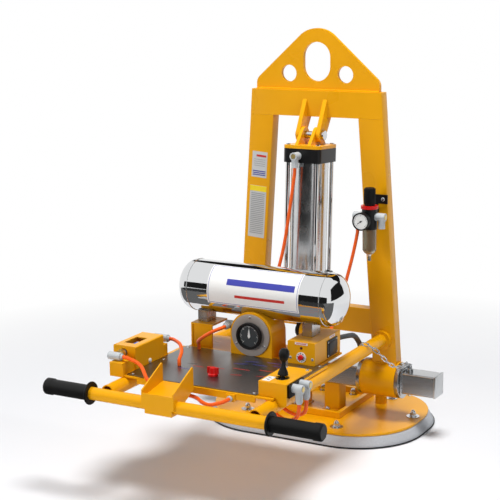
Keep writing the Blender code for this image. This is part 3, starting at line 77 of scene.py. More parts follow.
def place(x, y, z):
    """A point of the lifter, from millimetres about the tilt axis to metres in the scene."""
    return tilt_axis + Vector((x, y, z)) / 1000


def rotation(degrees, axis):
    """A turn about one axis."""
    return Matrix.Rotation(math.radians(degrees), 4, axis)


def new_object(name, data):
    """An object with its data, in the scene."""
    made = bpy.data.objects.new(name, data)
    bpy.context.scene.collection.objects.link(made)
    return made


CAMERA_SPOT = (1373.0, -2801.3, 951.6)
TURN_LEFT, LOOK_DOWN, LEAN = 29.07, 11.94, -0.72      # degrees
LENS = 96.96                                          # millimetres, on a 36 mm wide sensor
camera = new_object("camera", bpy.data.cameras.new("camera"))
camera.data.lens = LENS
camera.data.sensor_width = 36.0
camera.data.clip_end = 100.0
camera.matrix_world = (Matrix.Translation(place(*CAMERA_SPOT)) @ rotation(TURN_LEFT, "Z")
                       @ rotation(90 - LOOK_DOWN, "X") @ rotation(LEAN, "Z"))
bpy.context.scene.camera = camera
bpy.context.scene.view_settings.view_transform = "Standard"


# Studio
# A matt white floor that fades into the white background, one wide lamp overhead and two soft ones
# beside the camera. Metal sees the same white room, with painted reflections on three sides and on the floor:
# dark cards that only mirrors and glass see, the one under the lifter a painted reflection of its shadow on
# the floor.
def linear(code):
    """A six-figure sRGB colour as the linear values that a shader takes."""
    parts = [int(code[i:i + 2], 16) / 255 for i in (0, 2, 4)]
    return [*(c / 12.92 if c <= 0.04045 else ((c + 0.055) / 1.055) ** 2.4 for c in parts), 1.0]


def add(tree, kind, inputs=(), **settings):
    """One node with its settings. An input is a value, or the socket that feeds it."""
    node = tree.nodes.new(kind)
    for name, value in settings.items():
        setattr(node, name, value)
    for name, value in dict(inputs).items():
        if isinstance(value, bpy.types.NodeSocket):
            tree.links.new(value, node.inputs[name])
        else:
            node.inputs[name].default_value = value
    return node


def new_material(name):
    """An empty material: its node tree and its output."""
    made = bpy.data.materials.new(name)
    made.use_nodes = True
    made.node_tree.nodes.clear()
    return made, made.node_tree, add(made.node_tree, "ShaderNodeOutputMaterial")


def show(name, shape, finish, smooth=35):
    """A bmesh as an object with its finish, shaded smooth up to an angle."""
    mesh = bpy.data.meshes.new(name)
    shape.to_mesh(mesh)
    shape.free()
    mesh.materials.append(finish)
    mesh.shade_smooth()
    mesh.set_sharp_from_angle(angle=math.radians(smooth))
    return new_object(name, mesh)


def seen_rays(tree):
    """1 for rays from the camera, a mirror or glass, which see the white background, and 0 for the rest."""
    rays = add(tree, "ShaderNodeLightPath")
    direct = add(tree, "ShaderNodeMath", {0: rays.outputs["Is Camera Ray"], 1: rays.outputs["Is Glossy Ray"]},
                 operation="MAXIMUM").outputs[0]
    return add(tree, "ShaderNodeMath", {0: direct, 1: rays.outputs["Is Transmission Ray"]},
               operation="MAXIMUM").outputs[0]


studio_floor, tree, output = new_material("matt white floor")
spot = add(tree, "ShaderNodeNewGeometry").outputs["Position"]
reach = add(tree, "ShaderNodeVectorMath", {0: spot}, operation="LENGTH").outputs["Value"]
FADE_STARTS, FADE_ENDS = 0.75, 1.55      # metres from the lifter, where the floor turns into the backdrop
fade = add(tree, "ShaderNodeMapRange",
           {"Value": reach, "From Min": FADE_STARTS, "From Max": FADE_ENDS}).outputs["Result"]
white = add(tree, "ShaderNodeEmission", {"Color": linear("FFFFFF"), "Strength": 1.0})
matt = add(tree, "ShaderNodeBsdfPrincipled", {"Base Color": linear("EDEEF1"), "Roughness": 0.8})
share = add(tree, "ShaderNodeMath", {0: seen_rays(tree), 1: fade}, operation="MULTIPLY").outputs[0]
floor_mix = add(tree, "ShaderNodeMixShader", {0: share, 1: matt.outputs[0], 2: white.outputs[0]})
tree.links.new(floor_mix.outputs[0], output.inputs["Surface"])
FLOOR_RADIUS = 14.0
shape = bmesh.new()
bmesh.ops.create_circle(shape, cap_ends=True, segments=96, radius=FLOOR_RADIUS)
show("floor", shape, studio_floor)

world = bpy.data.worlds.new("white room")
world.use_nodes = True
tree = world.node_tree
tree.nodes.clear()
room = add(tree, "ShaderNodeBackground", {"Color": linear("FFFFFF"), "Strength": 0.18})
backdrop = add(tree, "ShaderNodeBackground", {"Color": linear("FFFFFF"), "Strength": 1.0})
world_mix = add(tree, "ShaderNodeMixShader",
                {0: seen_rays(tree), 1: room.outputs[0], 2: backdrop.outputs[0]})
tree.links.new(world_mix.outputs[0], add(tree, "ShaderNodeOutputWorld").inputs["Surface"])
bpy.context.scene.world = world

LAMPS_AIM_AT = Vector((0.0, -0.1, 0.35))
for name, spot, size, watts in (("overhead lamp", (0.35, -0.1, 3.2), 1.2, 96),
                                ("left lamp", (-1.9, -3.3, 1.2), 1.6, 64),
                                ("right lamp", (2.9, -1.2, 1.6), 1.4, 16)):
    lamp = new_object(name, bpy.data.lights.new(name, "AREA"))
    lamp.data.shape = "DISK"
    lamp.data.size = size
    lamp.data.energy = watts
    lamp.visible_glossy = False
    lamp.location = spot
    lamp.rotation_euler = (LAMPS_AIM_AT - Vector(spot)).to_track_quat("-Z", "Y").to_euler()

# Each painted reflection card is width by height in metres, turned about z, and tilted 90 to stand or 0 to
# lie.
for name, tone, centre, width, height, turn, tilt in (
        ("front painted reflection", "202020", (-0.2, -3.6, 0.83), 7.0, 1.65, 0, 90),
        # A painted reflection of the lifter's shadow on the floor.
        ("near floor painted shadow reflection", "6C6C6C", (0.5, -0.55, 0.003), 5.0, 0.9, 0, 0),
        ("left floor painted reflection", "3A3A3A", (-0.8, -2.3, 0.004), 2.8, 2.6, 0, 0),
        ("right floor painted reflection", "727272", (1.9, -2.3, 0.004), 2.6, 2.6, 0, 0),
        ("rear painted reflection", "1C1C1C", (0.0, 1.4, 2.4), 3.2, 2.4, 0, 90),
        ("right painted reflection", "202020", (3.0, 1.2, 1.60), 4.4, 2.60, 90, 90)):
    painted_reflection, tree, output = new_material(name)
    glow = add(tree, "ShaderNodeEmission", {"Color": linear(tone), "Strength": 1.0})
    tree.links.new(glow.outputs[0], output.inputs["Surface"])
    hang = (Matrix.Translation(centre) @ rotation(turn, "Z") @ rotation(tilt, "X")
            @ Matrix.Diagonal((width, height, 1, 1)))
    shape = bmesh.new()
    bmesh.ops.create_grid(shape, x_segments=1, y_segments=1, size=0.5, matrix=hang)
    card = show(name, shape, painted_reflection)
    # Painted reflections: hidden from the camera, from diffuse light and from shadows, so only mirrors and
    # glass see them.
    card.visible_camera = card.visible_diffuse = card.visible_shadow = False


# Hoist frame
# Rectangular steel tube, cut to a narrow A and welded to the two bearing sleeves, then powder coated
# in one warm yellow. Powder coat is even and semi-gloss, with a faint orange peel.
def powder_coat(name, code):
    """Powder coat with a slow cloudiness in its tone and gloss, and a fine orange peel."""
    made, tree, output = new_material(name)
    spot = add(tree, "ShaderNodeTexCoord").outputs["Object"]
    cloud = add(tree, "ShaderNodeTexNoise", {"Vector": spot, "Scale": 9.0, "Detail": 3.0}).outputs["Fac"]
    lift = add(tree, "ShaderNodeMapRange", {"Value": cloud, "From Min": 0.3, "From Max": 0.7,
                                            "To Min": 0.96, "To Max": 1.03}).outputs["Result"]
    colour = add(tree, "ShaderNodeVectorMath", {0: linear(code)[:3], "Scale": lift}, operation="SCALE")
    # The peel is a millimetre across on the real coat, drawn at twice that so that it shows.
    peel = add(tree, "ShaderNodeTexNoise", {"Vector": spot, "Scale": 450.0, "Detail": 2.0}).outputs["Fac"]
    bump = add(tree, "ShaderNodeBump", {"Height": peel, "Strength": 0.06, "Distance": 0.0006})
    gloss = add(tree, "ShaderNodeMapRange", {"Value": cloud, "From Min": 0.3, "From Max": 0.7,
                                             "To Min": 0.26, "To Max": 0.36}).outputs["Result"]
    shader = add(tree, "ShaderNodeBsdfPrincipled",
                 {"Base Color": colour.outputs[0], "Roughness": gloss, "Normal": bump.outputs[0],
                  "IOR": 1.5, "Specular IOR Level": 0.28})
    tree.links.new(shader.outputs[0], output.inputs["Surface"])
    return made


# Baked polyester powder: warm, even and semi-gloss.
yellow = powder_coat("yellow powder coat on steel", "E5A109")


def steady_normals(mesh):
    """Shade each corner by its largest faces, so that flats stay flat beside their rounded edges."""
    normals = [Vector() for _ in mesh.vertices]
    for face in mesh.polygons:
        for number in face.vertices:
            normals[number] += face.normal * face.area
    mesh.normals_split_custom_set_from_vertices([n.normalized() for n in normals])


def round_off_edges(shape, edges, width, clamp=False):
    """Round edges off by a width in millimetres. clamp stops them where they would cross."""
    bmesh.ops.bevel(shape, geom=edges, offset=width / 1000, offset_type="OFFSET", segments=2,
                    profile=0.5, affect="EDGES", clamp_overlap=clamp, material=-1)


SAME_POINT, SAME_HEIGHT = 0.02, 1.5      # millimetres
SAME_PLANE = 0.8                         # degrees


def finish_node(node, finish, edge=0.6, sharp=35, seams=()):
    """A CAD node with its triangles joined, its corners rounded by edge millimetres and its finish on.
    Edges that lie wholly at one of the heights in seams are welded over, and stay square."""
    source = frame["nodes"][node]
    shape = bmesh.new()
    shape.from_mesh(source.data)
    bmesh.ops.remove_doubles(shape, verts=shape.verts, dist=SAME_POINT / 1000)
    bmesh.ops.dissolve_limit(shape, angle_limit=math.radians(SAME_PLANE), verts=shape.verts,
                             edges=shape.edges)
    if edge:
        def welded(side):
            """Whether an edge lies at a seam."""
            return any(all(abs((v.co - tilt_axis).z * 1000 - z) < SAME_HEIGHT for v in side.verts)
                       for z in seams)
        corners = [e for e in shape.edges if len(e.link_faces) == 2 and not welded(e)
                   and e.calc_face_angle(0.0) > math.radians(sharp)]
        round_off_edges(shape, corners, edge, clamp=True)
    made = show(node + "_finished", shape, finish, sharp)
    if edge and not seams:
        steady_normals(made.data)
    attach(made, source["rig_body"])
    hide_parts(node)
    return made


def tube_along(name, points, radius, finish, closed=False, sides=3, ribs=None):
    """A round tube along points in metres, as a curve with filled ends. radius is in millimetres, and
    ribs gives each point's share of it."""
    curve = bpy.data.curves.new(name, "CURVE")
    curve.dimensions = "3D"
    curve.bevel_depth = radius / 1000
    curve.bevel_resolution = sides
    curve.use_fill_caps = True
    spline = curve.splines.new("POLY")
    spline.points.add(len(points) - 1)
    for number, (knot, spot) in enumerate(zip(spline.points, points)):
        knot.co = (*spot, 1.0)
        knot.radius = ribs[number] if ribs else 1.0
    spline.use_cyclic_u = closed
    spline.use_smooth = True
    curve.materials.append(finish)
    return new_object(name, curve)


def weld(name, spots, radius=1.8, rider="hanger", closed=False):
    """A painted weld bead through spots in millimetres."""
    bead = tube_along(name, [place(*spot) for spot in spots], radius, yellow, closed)
    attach(bead, rider)


LEG_TOP, CROSSBAR_UNDERSIDE = 607.7, 608.0
for node in ("left_leg", "right_leg", "top_crossbar"):
    finish_node(node, yellow, 1.6, seams=(LEG_TOP, CROSSBAR_UNDERSIDE))
finish_node("lower_crossbar", yellow, 1.4)
for node in ("left_sleeve", "right_sleeve"):
    finish_node(node, yellow, 1.0)
# The beads run along each leg's foot on its sleeve, and up each end of the lower crossbar.
SIDES = ((-1, "left"), (1, "right"))
LEG_BEAD_Y, CROSSBAR_BEAD_Y = -15.2, -14.2
for side, word in SIDES:
    weld("sleeve_weld_" + word, [(side * 206.5, LEG_BEAD_Y, 40.6), (side * 180.0, LEG_BEAD_Y, 40.8),
                                 (side * 154.0, LEG_BEAD_Y, 40.6)])
    weld("crossbar_weld_" + word,
         [(side * 144.5, CROSSBAR_BEAD_Y, 106.6), (side * 139.7, CROSSBAR_BEAD_Y, 166.2)], 1.5)


# Lifting plate
# One flame-cut plate, 10 mm thick, with an oval eye for the hoist's hook and two shackle holes. It is
# welded along the crossbar on both sides.
finish_node("lifting_plate", yellow, 1.0)
PLATE_BEAD_Y, CROSSBAR_TOP = 5.6, 669.0
for side, word in ((-1, "front"), (1, "back")):
    weld("plate_weld_" + word, [(x, side * PLATE_BEAD_Y, CROSSBAR_TOP) for x in (-156, 0, 156)], 2.2)


# Blank labels on the left leg
# Two vinyl labels on the front of the leg, kept plain: pale grounds with plain bands, and one with a
# yellow head. Vinyl is smooth, thin and slightly glossy.
def vinyl(name, code, roughness=0.35):
    """Printed vinyl or enamel with a slight mottle."""
    made, tree, output = new_material(name)
    spot = add(tree, "ShaderNodeTexCoord").outputs["Object"]
    mottle = add(tree, "ShaderNodeTexNoise", {"Vector": spot, "Scale": 260.0, "Detail": 2.0}).outputs["Fac"]
    lift = add(tree, "ShaderNodeMapRange",
               {"Value": mottle, "To Min": 0.96, "To Max": 1.03}).outputs["Result"]
    colour = add(tree, "ShaderNodeVectorMath", {0: linear(code)[:3], "Scale": lift}, operation="SCALE")
    shader = add(tree, "ShaderNodeBsdfPrincipled",
                 {"Base Color": colour.outputs[0], "Roughness": roughness, "IOR": 1.5})
    tree.links.new(shader.outputs[0], output.inputs["Surface"])
    return made


# Screen-printed vinyl: flat colour with a slight mottle and a low, even gloss.
white_vinyl = vinyl("white vinyl label", "E9E9E7")
pale_vinyl = vinyl("pale grey vinyl label", "C6C7C6")
grey_vinyl = vinyl("grey printed band", "8E8F90")
blue_vinyl = vinyl("blue printed band", "3A3F9E")
red_vinyl = vinyl("red printed band", "C9302A")
yellow_vinyl = vinyl("yellow printed band", "F2D51E")
black_vinyl = vinyl("black printed mark", "1B1B1B")


def add_plate(shape, centre, size, turn=None, round_off=0.0):
    """A flat plate, in millimetres, turned about its own middle, with its corners rounded off."""
    spot = Matrix.Translation(place(*centre)) @ (turn or Matrix())
    made = bmesh.ops.create_cube(shape, size=0.001, matrix=spot @ Matrix.Diagonal((*size, 1)))
    if round_off:
        edges = {e for v in made["verts"] for e in v.link_edges}
        round_off_edges(shape, list(edges), round_off)


def put(name, finish, rider, *plates):
    """One piece made of plates, each a (centre, size, turn) in millimetres, on a body."""
    shape = bmesh.new()
    for plate in plates:
        add_plate(shape, *plate)
    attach(show(name, shape, finish), rider)


LEG_LEAN, LABEL_FACE = 4.0, -15.05
lean = rotation(LEG_LEAN, "Y")


def on_leg(middle, u, v):
    """A place on a leg label, from its middle, u across and v up."""
    spot = Vector((middle[0], 0, middle[1])) + (lean @ Vector((u, 0, v)))
    return spot.x, spot.z


def leg_band(middle, u, v, width, height, level):
    """A plate of a leg label, u across and v up from its middle and level millimetres proud."""
    x, z = on_leg(middle, u, v)
    return (x, LABEL_FACE - level, z), (width, 0.30, height), lean


upper, lower = (-147.0, 488.0), (-155.0, 374.0)
put("upper_leg_label", pale_vinyl, "hanger", leg_band(upper, 0, 0, 40, 62, 0))
put("upper_leg_bands", grey_vinyl, "hanger",
    *[leg_band(upper, 0, v, 30, 1.0, 0.2) for v in (12, 7, 2, -3)])
put("upper_leg_red_bands", red_vinyl, "hanger", leg_band(upper, 4, 21, 26, 5, 0.2))
put("upper_leg_blue_bands", blue_vinyl, "hanger",
    *[leg_band(upper, 0, v, 34, 2.2, 0.2) for v in (-16, -20.5, -25)])
put("lower_leg_label", pale_vinyl, "hanger", leg_band(lower, 0, 0, 44, 126, 0))
put("lower_leg_head", yellow_vinyl, "hanger", leg_band(lower, 0, 56, 44, 13, 0.2))
put("lower_leg_bands", grey_vinyl, "hanger",
    *[leg_band(lower, 0, 44 - 4.6 * i, 36, 1.8, 0.2) for i in range(22)])


# Beam, bearings and hitch pin
# The beam is bright drawn square tube with a pressed cap in each end, and the bearing journals are turned
# from the same steel. The plated pin holds the beam's draw.
def bare_metal(name, code, roughness, grain=None, spread=0.05):
    """Bare or plated metal. grain stretches the polishing lines along the axis with the small number."""
    made, tree, output = new_material(name)
    spot = add(tree, "ShaderNodeTexCoord").outputs["Object"]
    if grain:
        spot = add(tree, "ShaderNodeMapping", {"Vector": spot, "Scale": grain}).outputs[0]
    lines = add(tree, "ShaderNodeTexNoise", {"Vector": spot, "Scale": 30.0, "Detail": 3.0}).outputs["Fac"]
    rough = add(tree, "ShaderNodeMapRange", {"Value": lines, "From Min": 0.3, "From Max": 0.7,
                                             "To Min": max(0.0, roughness - spread),
                                             "To Max": roughness + spread}).outputs["Result"]
    shader = add(tree, "ShaderNodeBsdfPrincipled",
                 {"Base Color": linear(code), "Metallic": 1.0, "Roughness": rough})
    if grain:
        bump = add(tree, "ShaderNodeBump", {"Height": lines, "Strength": 0.03, "Distance": 0.0004})
        tree.links.new(bump.outputs[0], shader.inputs["Normal"])
    tree.links.new(shader.outputs[0], output.inputs["Surface"])
    return made


# Bright drawn steel: grey, with fine draw lines along the bar that smear what it mirrors.
drawn_steel = bare_metal("bright drawn steel", "BABBBC", 0.24, (1.0, 30.0, 30.0), 0.03)
# Galvanised sheet: paler and more diffuse than the bar beside it.
cap_steel = bare_metal("galvanised pressed cap", "C6C8C9", 0.36)
# Turned steel: satin all round, between the bar and the sheet.
turned_steel = bare_metal("turned steel", "BCBDBE", 0.28)
# Bright zinc on fasteners: pale and fairly sharp.
zinc = bare_metal("zinc plate", "CFD1D3", 0.22)
# Polished chrome: mirrors the room almost whole.
chrome = bare_metal("polished chrome", "DCDDDE", 0.05, None, 0.02)
finish_node("beam", drawn_steel, 1.5)
for node in ("left_journal", "right_journal"):
    finish_node(node, turned_steel, 0.6)
finish_node("hitch_pin", zinc, 0.3)
finish_node("clevis_pin", zinc, 0.6)
CAP_X, COLLAR_X = 306.9, 225.2
for side, word in SIDES:
    shape = bmesh.new()
    add_plate(shape, (side * CAP_X, 0, 0), (5.6, 51.2, 51.2), None, 1.2)
    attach(show("beam_cap_" + word, shape, cap_steel), "rotor")
    shape = bmesh.new()
    add_plate(shape, (side * COLLAR_X, 0, 0), (3.2, 58, 58), None, 0.8)
    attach(show("beam_collar_" + word, shape, turned_steel), "rotor")


def loop(centre, across, along, radius, straight, steps=10):
    """Points in metres round a stadium loop: two half turns joined by straight runs, in millimetres."""
    across, along = Vector(across).normalized(), Vector(along).normalized()
    points = []
    for end in (1, -1):
        for i in range(steps + 1):
            angle = math.radians(180 * i / steps)
            spot = (along * (end * (straight / 2 + radius * math.sin(angle)))
                    + across * (end * radius * math.cos(angle)))
            points.append(place(*centre) + spot / 1000)
    return points


ring = loop((236, -10, 44.5), (1, 0, 0.1), (0, 1, -0.35), 7.0, 8.0)
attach(tube_along("pin_ring", ring, 1.5, zinc, closed=True), "beam_pin")


# Suction pad
# A pressed steel plate in the same yellow carries the seal: pale grey foam rubber with a closed skin,
# edged at the stone by a thin black wiping lip.
def moulded(name, code, roughness, grit=900.0, depth=0.10, coat=0.0, shine=0.5):
    """Moulded plastic or rubber with a fine mould texture. grit is the texture's grains to the metre."""
    made, tree, output = new_material(name)
    spot = add(tree, "ShaderNodeTexCoord").outputs["Object"]
    grain = add(tree, "ShaderNodeTexNoise", {"Vector": spot, "Scale": grit, "Detail": 2.0}).outputs["Fac"]
    tone = add(tree, "ShaderNodeMapRange", {"Value": grain, "From Min": 0.3, "From Max": 0.7,
                                            "To Min": 0.92, "To Max": 1.08}).outputs["Result"]
    colour = add(tree, "ShaderNodeVectorMath", {0: linear(code)[:3], "Scale": tone}, operation="SCALE")
    bump = add(tree, "ShaderNodeBump", {"Height": grain, "Strength": depth, "Distance": 0.0004})
    shader = add(tree, "ShaderNodeBsdfPrincipled",
                 {"Base Color": colour.outputs[0], "Roughness": roughness, "Normal": bump.outputs[0],
                  "IOR": 1.5, "Coat Weight": coat, "Coat Roughness": 0.1, "Specular IOR Level": shine})
    tree.links.new(shader.outputs[0], output.inputs["Surface"])
    return made


# Foam rubber with a closed skin: pale, matt and slightly open in grain.
seal_rubber = moulded("closed-cell seal rubber", "B2B5BA", 0.75, 500.0, 0.25, shine=0.3)
# Solid rubber: nearly black, with a dull shine.
black_rubber = moulded("black rubber", "141414", 0.55, 700.0, shine=0.3)
finish_node("pad_plate", yellow, 1.0)
finish_node("pad_seal", seal_rubber, 0.0, 50)


def rounded_outline(half_x, half_y, corner, steps=20):
    """Points round a rounded rectangle, in millimetres."""
    points = []
    for quarter, (sx, sy) in enumerate(((1, 1), (-1, 1), (-1, -1), (1, -1))):
        for i in range(steps + 1):
            angle = math.radians(90 * quarter + 90 * i / steps)
            points.append((sx * (half_x - corner) + corner * math.cos(angle),
                           sy * (half_y - corner) + corner * math.sin(angle)))
    return points


PAD_MIDDLE_Y, LIP_LEVEL = 12.4, -121.9
lip = [place(x, y + PAD_MIDDLE_Y, LIP_LEVEL) for x, y in rounded_outline(272.3, 188.3, 163.8)]
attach(tube_along("seal_lip", lip, 1.7, black_rubber, closed=True), "rotor")


# Pad cradle
# Two welded posts and a welded rib frame spread the load. Domed nuts on plated washers clamp the seal's
# studs through the plate.
for node in ("rib_frame", "left_post", "right_post", "crank_lug"):
    finish_node(node, yellow, 0.8)
POST_X, POST_BEAD_REACH, POST_BEAD_Z = 45.0, 21, -91.6
for side, word in SIDES:
    foot = [(side * POST_X + u * POST_BEAD_REACH, v * POST_BEAD_REACH, POST_BEAD_Z)
            for u, v in ((-1, -1), (1, -1), (1, 1), (-1, 1))]
    weld("post_weld_" + word, foot, 2.2, "rotor", closed=True)


def add_round(shape, centre, axis, radius, length, segments=24, end_radius=None):
    """A round bar or cone from centre along axis, in millimetres."""
    turn = Vector(axis).to_track_quat("Z", "Y").to_matrix().to_4x4()
    middle = place(*centre) + Vector(axis).normalized() * length / 2000
    bmesh.ops.create_cone(shape, cap_ends=True, segments=segments, radius1=radius / 1000,
                          radius2=(radius if end_radius is None else end_radius) / 1000,
                          depth=length / 1000, matrix=Matrix.Translation(middle) @ turn)


def add_dome(shape, centre, radius, squash=1.0, axis="z"):
    """A ball on centre, squashed along one axis, in millimetres."""
    scale = Matrix.Diagonal((squash if axis == "x" else 1, squash if axis == "y" else 1,
                             squash if axis == "z" else 1, 1))
    bmesh.ops.create_uvsphere(shape, u_segments=20, v_segments=12, radius=radius / 1000,
                              matrix=Matrix.Translation(place(*centre)) @ scale)


PLATE_TOP, WIDE_WASHER, SMALL_WASHER = -93.0, 15.5, 11
outer_studs = ((-138, -104), (107, -124), (236, 24), (-236, 24), (138, 128), (-107, 140))
inner_studs = ((41, 112), (45, -42), (-41, 112), (-45, -42))
shape = bmesh.new()
for x, y, washer in ([(*spot, WIDE_WASHER) for spot in outer_studs]
                     + [(*spot, SMALL_WASHER) for spot in inner_studs]):
    add_round(shape, (x, y, PLATE_TOP), (0, 0, 1), washer, 1.6, 32)
    add_round(shape, (x, y, PLATE_TOP + 1.6), (0, 0, 1), washer * 0.62, 1.2, 24)
    add_round(shape, (x, y, PLATE_TOP + 2.8), (0, 0, 1), 7.4, 6.5, 6)
    add_dome(shape, (x, y, PLATE_TOP + 9.3), 5.8, 1.25)
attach(show("domed_nuts", shape, zinc, 30), "rotor")


# Tilt cylinder
# A square-capped pneumatic cylinder: chromed barrel, ground tie rods, black anodised end caps and a
# hard-chromed rod. It hangs from the crossbar by a welded clevis and pushes the crank with its fork.
# Black anodising: a dense, even black with a soft sheen.
black_anodised = moulded("black anodised aluminium", "131314", 0.38, 1200.0, 0.05, shine=0.35)
# Moulded acetal: pale grey, smooth and a little waxy.
fitting_grey = moulded("grey acetal fitting", "B9BDBF", 0.42, 900.0, 0.06, shine=0.35)
# Machined brass: pale yellow, satin from the tool.
brass = bare_metal("machined brass", "E6CC86", 0.42)


def paint_faces(piece, finish, inside):
    """A second finish on the faces whose middles, in lifter millimetres, pass the test."""
    piece.data.materials.append(finish)
    number = len(piece.data.materials) - 1
    for face in piece.data.polygons:
        if inside(*((face.center - tilt_axis) * 1000)):
            face.material_index = number


CYLINDER_LEAN, PIN_Y, PIN_Z = -3.387, -38.0, 569.0
cylinder_turn = rotation(CYLINDER_LEAN, "X")


def hung(x, y, z):
    """A place of the leaning cylinder, from millimetres about its clevis pin."""
    spot = cylinder_turn @ Vector((x, y, z))
    return spot.x, spot.y + PIN_Y, spot.z + PIN_Z


def elbow_plugs(name, radius, thickness, rider, *ports, segments=24):
    """Brass plugs in the ends of elbows. Each port is its middle in millimetres and the way it faces."""
    shape = bmesh.new()
    for middle, facing in ports:
        add_round(shape, middle, facing, radius, thickness, segments)
    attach(show(name, shape, brass, 30), rider)


cylinder_axis = (cylinder_turn @ Vector((0, 0, 1)))[:]
finish_node("cylinder_clevis", yellow, 1.0)
# The elbow stands in front of the head cap, and the tie rods come up out of the foot cap.
HEAD_CAP_FRONT, FOOT_CAP_TOP = -90.5, 254
head = finish_node("head_cap", black_anodised, 0.8)
paint_faces(head, fitting_grey, lambda x, y, z: y < HEAD_CAP_FRONT)
foot = finish_node("foot_cap", black_anodised, 0.6)
paint_faces(foot, chrome, lambda x, y, z: z > FOOT_CAP_TOP)
# Chromed barrel, honed after plating: mirrors the room in soft vertical bands.
honed = bare_metal("satin chromed barrel", "D0D1D2", 0.23)
finish_node("cylinder_tube", honed, 0.4)
finish_node("piston_rod", chrome, 0.3)
finish_node("rod_fork", black_anodised, 0.8)
TIE_ROD, HEAD_CAP_TOP = 37.5, -22.0
shape = bmesh.new()
for x in (-TIE_ROD, TIE_ROD):
    for y in (-TIE_ROD, TIE_ROD):
        add_round(shape, hung(x, y, HEAD_CAP_TOP), cylinder_axis, 5.2, 2.6, 6)
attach(show("tie_rod_nuts", shape, zinc, 30), "cylinder")
elbow_plugs("head_elbow_plug", 5.6, 0.9, "cylinder",
            (hung(-8, -70.0, -46.0), (cylinder_turn @ Vector((0, -1, 0)))[:]))


# Operator's frame
# Two round arms run from welded collars on the legs to the coped handlebar, all in the same yellow. The
# grips are moulded rubber with a thumb disc. A folded channel on the bar holds the hoist's pendant.
# Moulded rubber: deep black, matt, with a fine spark-eroded grain.
grip_rubber = moulded("grip rubber", "0F0F0F", 0.50, 650.0, 0.22, shine=0.3)
for node in ("left_arm", "right_arm"):
    finish_node(node, yellow, 0.8)
finish_node("handlebar", yellow, 0.5)
for node in ("left_grip", "right_grip"):
    finish_node(node, grip_rubber, 0.8)
finish_node("pendant_holder", yellow, 0.6)


# Panel
# The tray is folded sheet in the same yellow. On it lies a brushed stainless plate, with plain coloured
# guide lines printed round the red release knob.
# Brushed stainless: the brush lines run away from the operator and stretch reflections.
brushed_plate = bare_metal("brushed stainless sheet", "8E8E8E", 0.34, (30.0, 1.0, 30.0), 0.03)
# Red nylon: saturated, with a smooth moulded gloss.
red_plastic = moulded("red moulded plastic", "C8100F", 0.30, 700.0, 0.05, 0.2, 0.35)
finish_node("panel_tray", yellow, 0.8)
finish_node("panel_plate", brushed_plate, 0.3)
finish_node("release_knob", red_plastic, 0.5)
PANEL_TOP = 118.7
swing = rotation(18, "Z")


def guide_lines(name, finish, width, *lines):
    """Short printed lines. Each is its middle's x and y, its length, and how it is turned."""
    put(name, finish, "hanger", *[((x, y, PANEL_TOP), (length, width, 0.16), turn)
                                  for x, y, length, turn in lines])


def screw_heads(name, radius, share, axis, *spots):
    """Domed zinc screw heads that face along an axis. share is their height over a ball's."""
    shape = bmesh.new()
    for spot in spots:
        add_dome(shape, spot, radius, share, axis)
    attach(show(name, shape, zinc, 30), "hanger")


guide_lines("red_guide_lines", red_vinyl, 2.0,
            (-62, -452, 26, None), (-20, -444, 34, None), (30, -430, 40, None),
            (86, -418, 38, None), (40, -470, 24, swing), (96, -455, 30, swing))
guide_lines("blue_guide_lines", blue_vinyl, 1.6,
            (-78, -478, 30, None), (10, -396, 30, swing), (52, -388, 34, None),
            (92, -380, 26, None), (24, -372, 30, swing), (74, -362, 36, None))
put("black_guide_lines", black_vinyl, "hanger", ((-84, -440, PANEL_TOP), (22, 1.4, 0.16), swing),
    ((-100, -352, PANEL_TOP), (3, 3, 0.16)), ((128, -352, PANEL_TOP), (3, 3, 0.16)))
screw_heads("panel_screws", 3.6, 0.45, "z",
            *[(x, y, PANEL_TOP - 0.1) for x, y in ((-158, -558), (132, -558), (-158, -336),
                                                   (168, -336), (168, -438), (-158, -440))])


# Hand slide valve
# A small slide valve with a blue anodised sleeve, under a folded yellow guard with a thumb window. Its
# two grey push-in elbows look out of the guard's ends.
# Blue anodising: clear, saturated blue with a low sheen.
blue_anodised = moulded("blue anodised aluminium", "1E7FE0", 0.30, 900.0, 0.03)
# Natural nylon: an off-white with a waxy gloss.
white_nylon = moulded("white nylon", "DFE0E0", 0.40, 600.0, 0.04)
finish_node("valve_guard", yellow, 0.7)
valve = finish_node("slide_valve", fitting_grey, 0.4)
# Bare brass shows between the front elbow and the guard.
paint_faces(valve, brass, lambda x, y, z: -551 < y < -530)
finish_node("slide_sleeve", blue_anodised, 0.5)


def turned_ring(name, finish, inner, outer, front, back, edge, centre, rider="hanger"):
    """A ring that faces the operator, turned about centre (x, z), with its edges broken, in millimetres."""
    shape = bmesh.new()
    x, z = centre
    section = ((inner, front), (outer, front), (outer, back), (inner, back))
    corners = [shape.verts.new(place(x + radius, y, z)) for radius, y in section]
    sides = [shape.edges.new((a, b)) for a, b in zip(corners, corners[1:] + corners[:1])]
    bmesh.ops.spin(shape, geom=[*sides, *corners], cent=place(x, 0, z), axis=(0, 1, 0),
                   angle=math.tau, steps=64, use_merge=True, use_duplicate=False)
    bmesh.ops.recalc_face_normals(shape, faces=shape.faces)
    rims = [e for e in shape.edges if len(e.link_faces) == 2 and e.calc_face_angle(0.0) > 1.0]
    round_off_edges(shape, rims, edge)
    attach(show(name, shape, finish, 40), rider)


SLIDE_Z = 152.0
SLIDE_AXIS = (-199.0, SLIDE_Z)
turned_ring("sleeve_collar_blue", blue_anodised, 8.2, 9.05, -494, -477.2, 0.3, SLIDE_AXIS, "hand_slide")
turned_ring("sleeve_collar_white", white_nylon, 8.2, 9.0, -477, -473.4, 0.3, SLIDE_AXIS, "hand_slide")
shape = bmesh.new()
add_round(shape, (-169.2, -476, 124), (1, 0, 0), 5.0, 1.6, 24)
add_dome(shape, (-167.8, -476, 124), 4.4, 0.4, "x")
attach(show("guard_screw", shape, white_nylon, 30), "hanger")
elbow_plugs("slide_elbow_plugs", 5.2, 0.8, "hanger",
            *[((x, y, SLIDE_Z), (-1, 0, 0)) for x, y in ((-215.4, -560), (-207.4, -396))], segments=20)


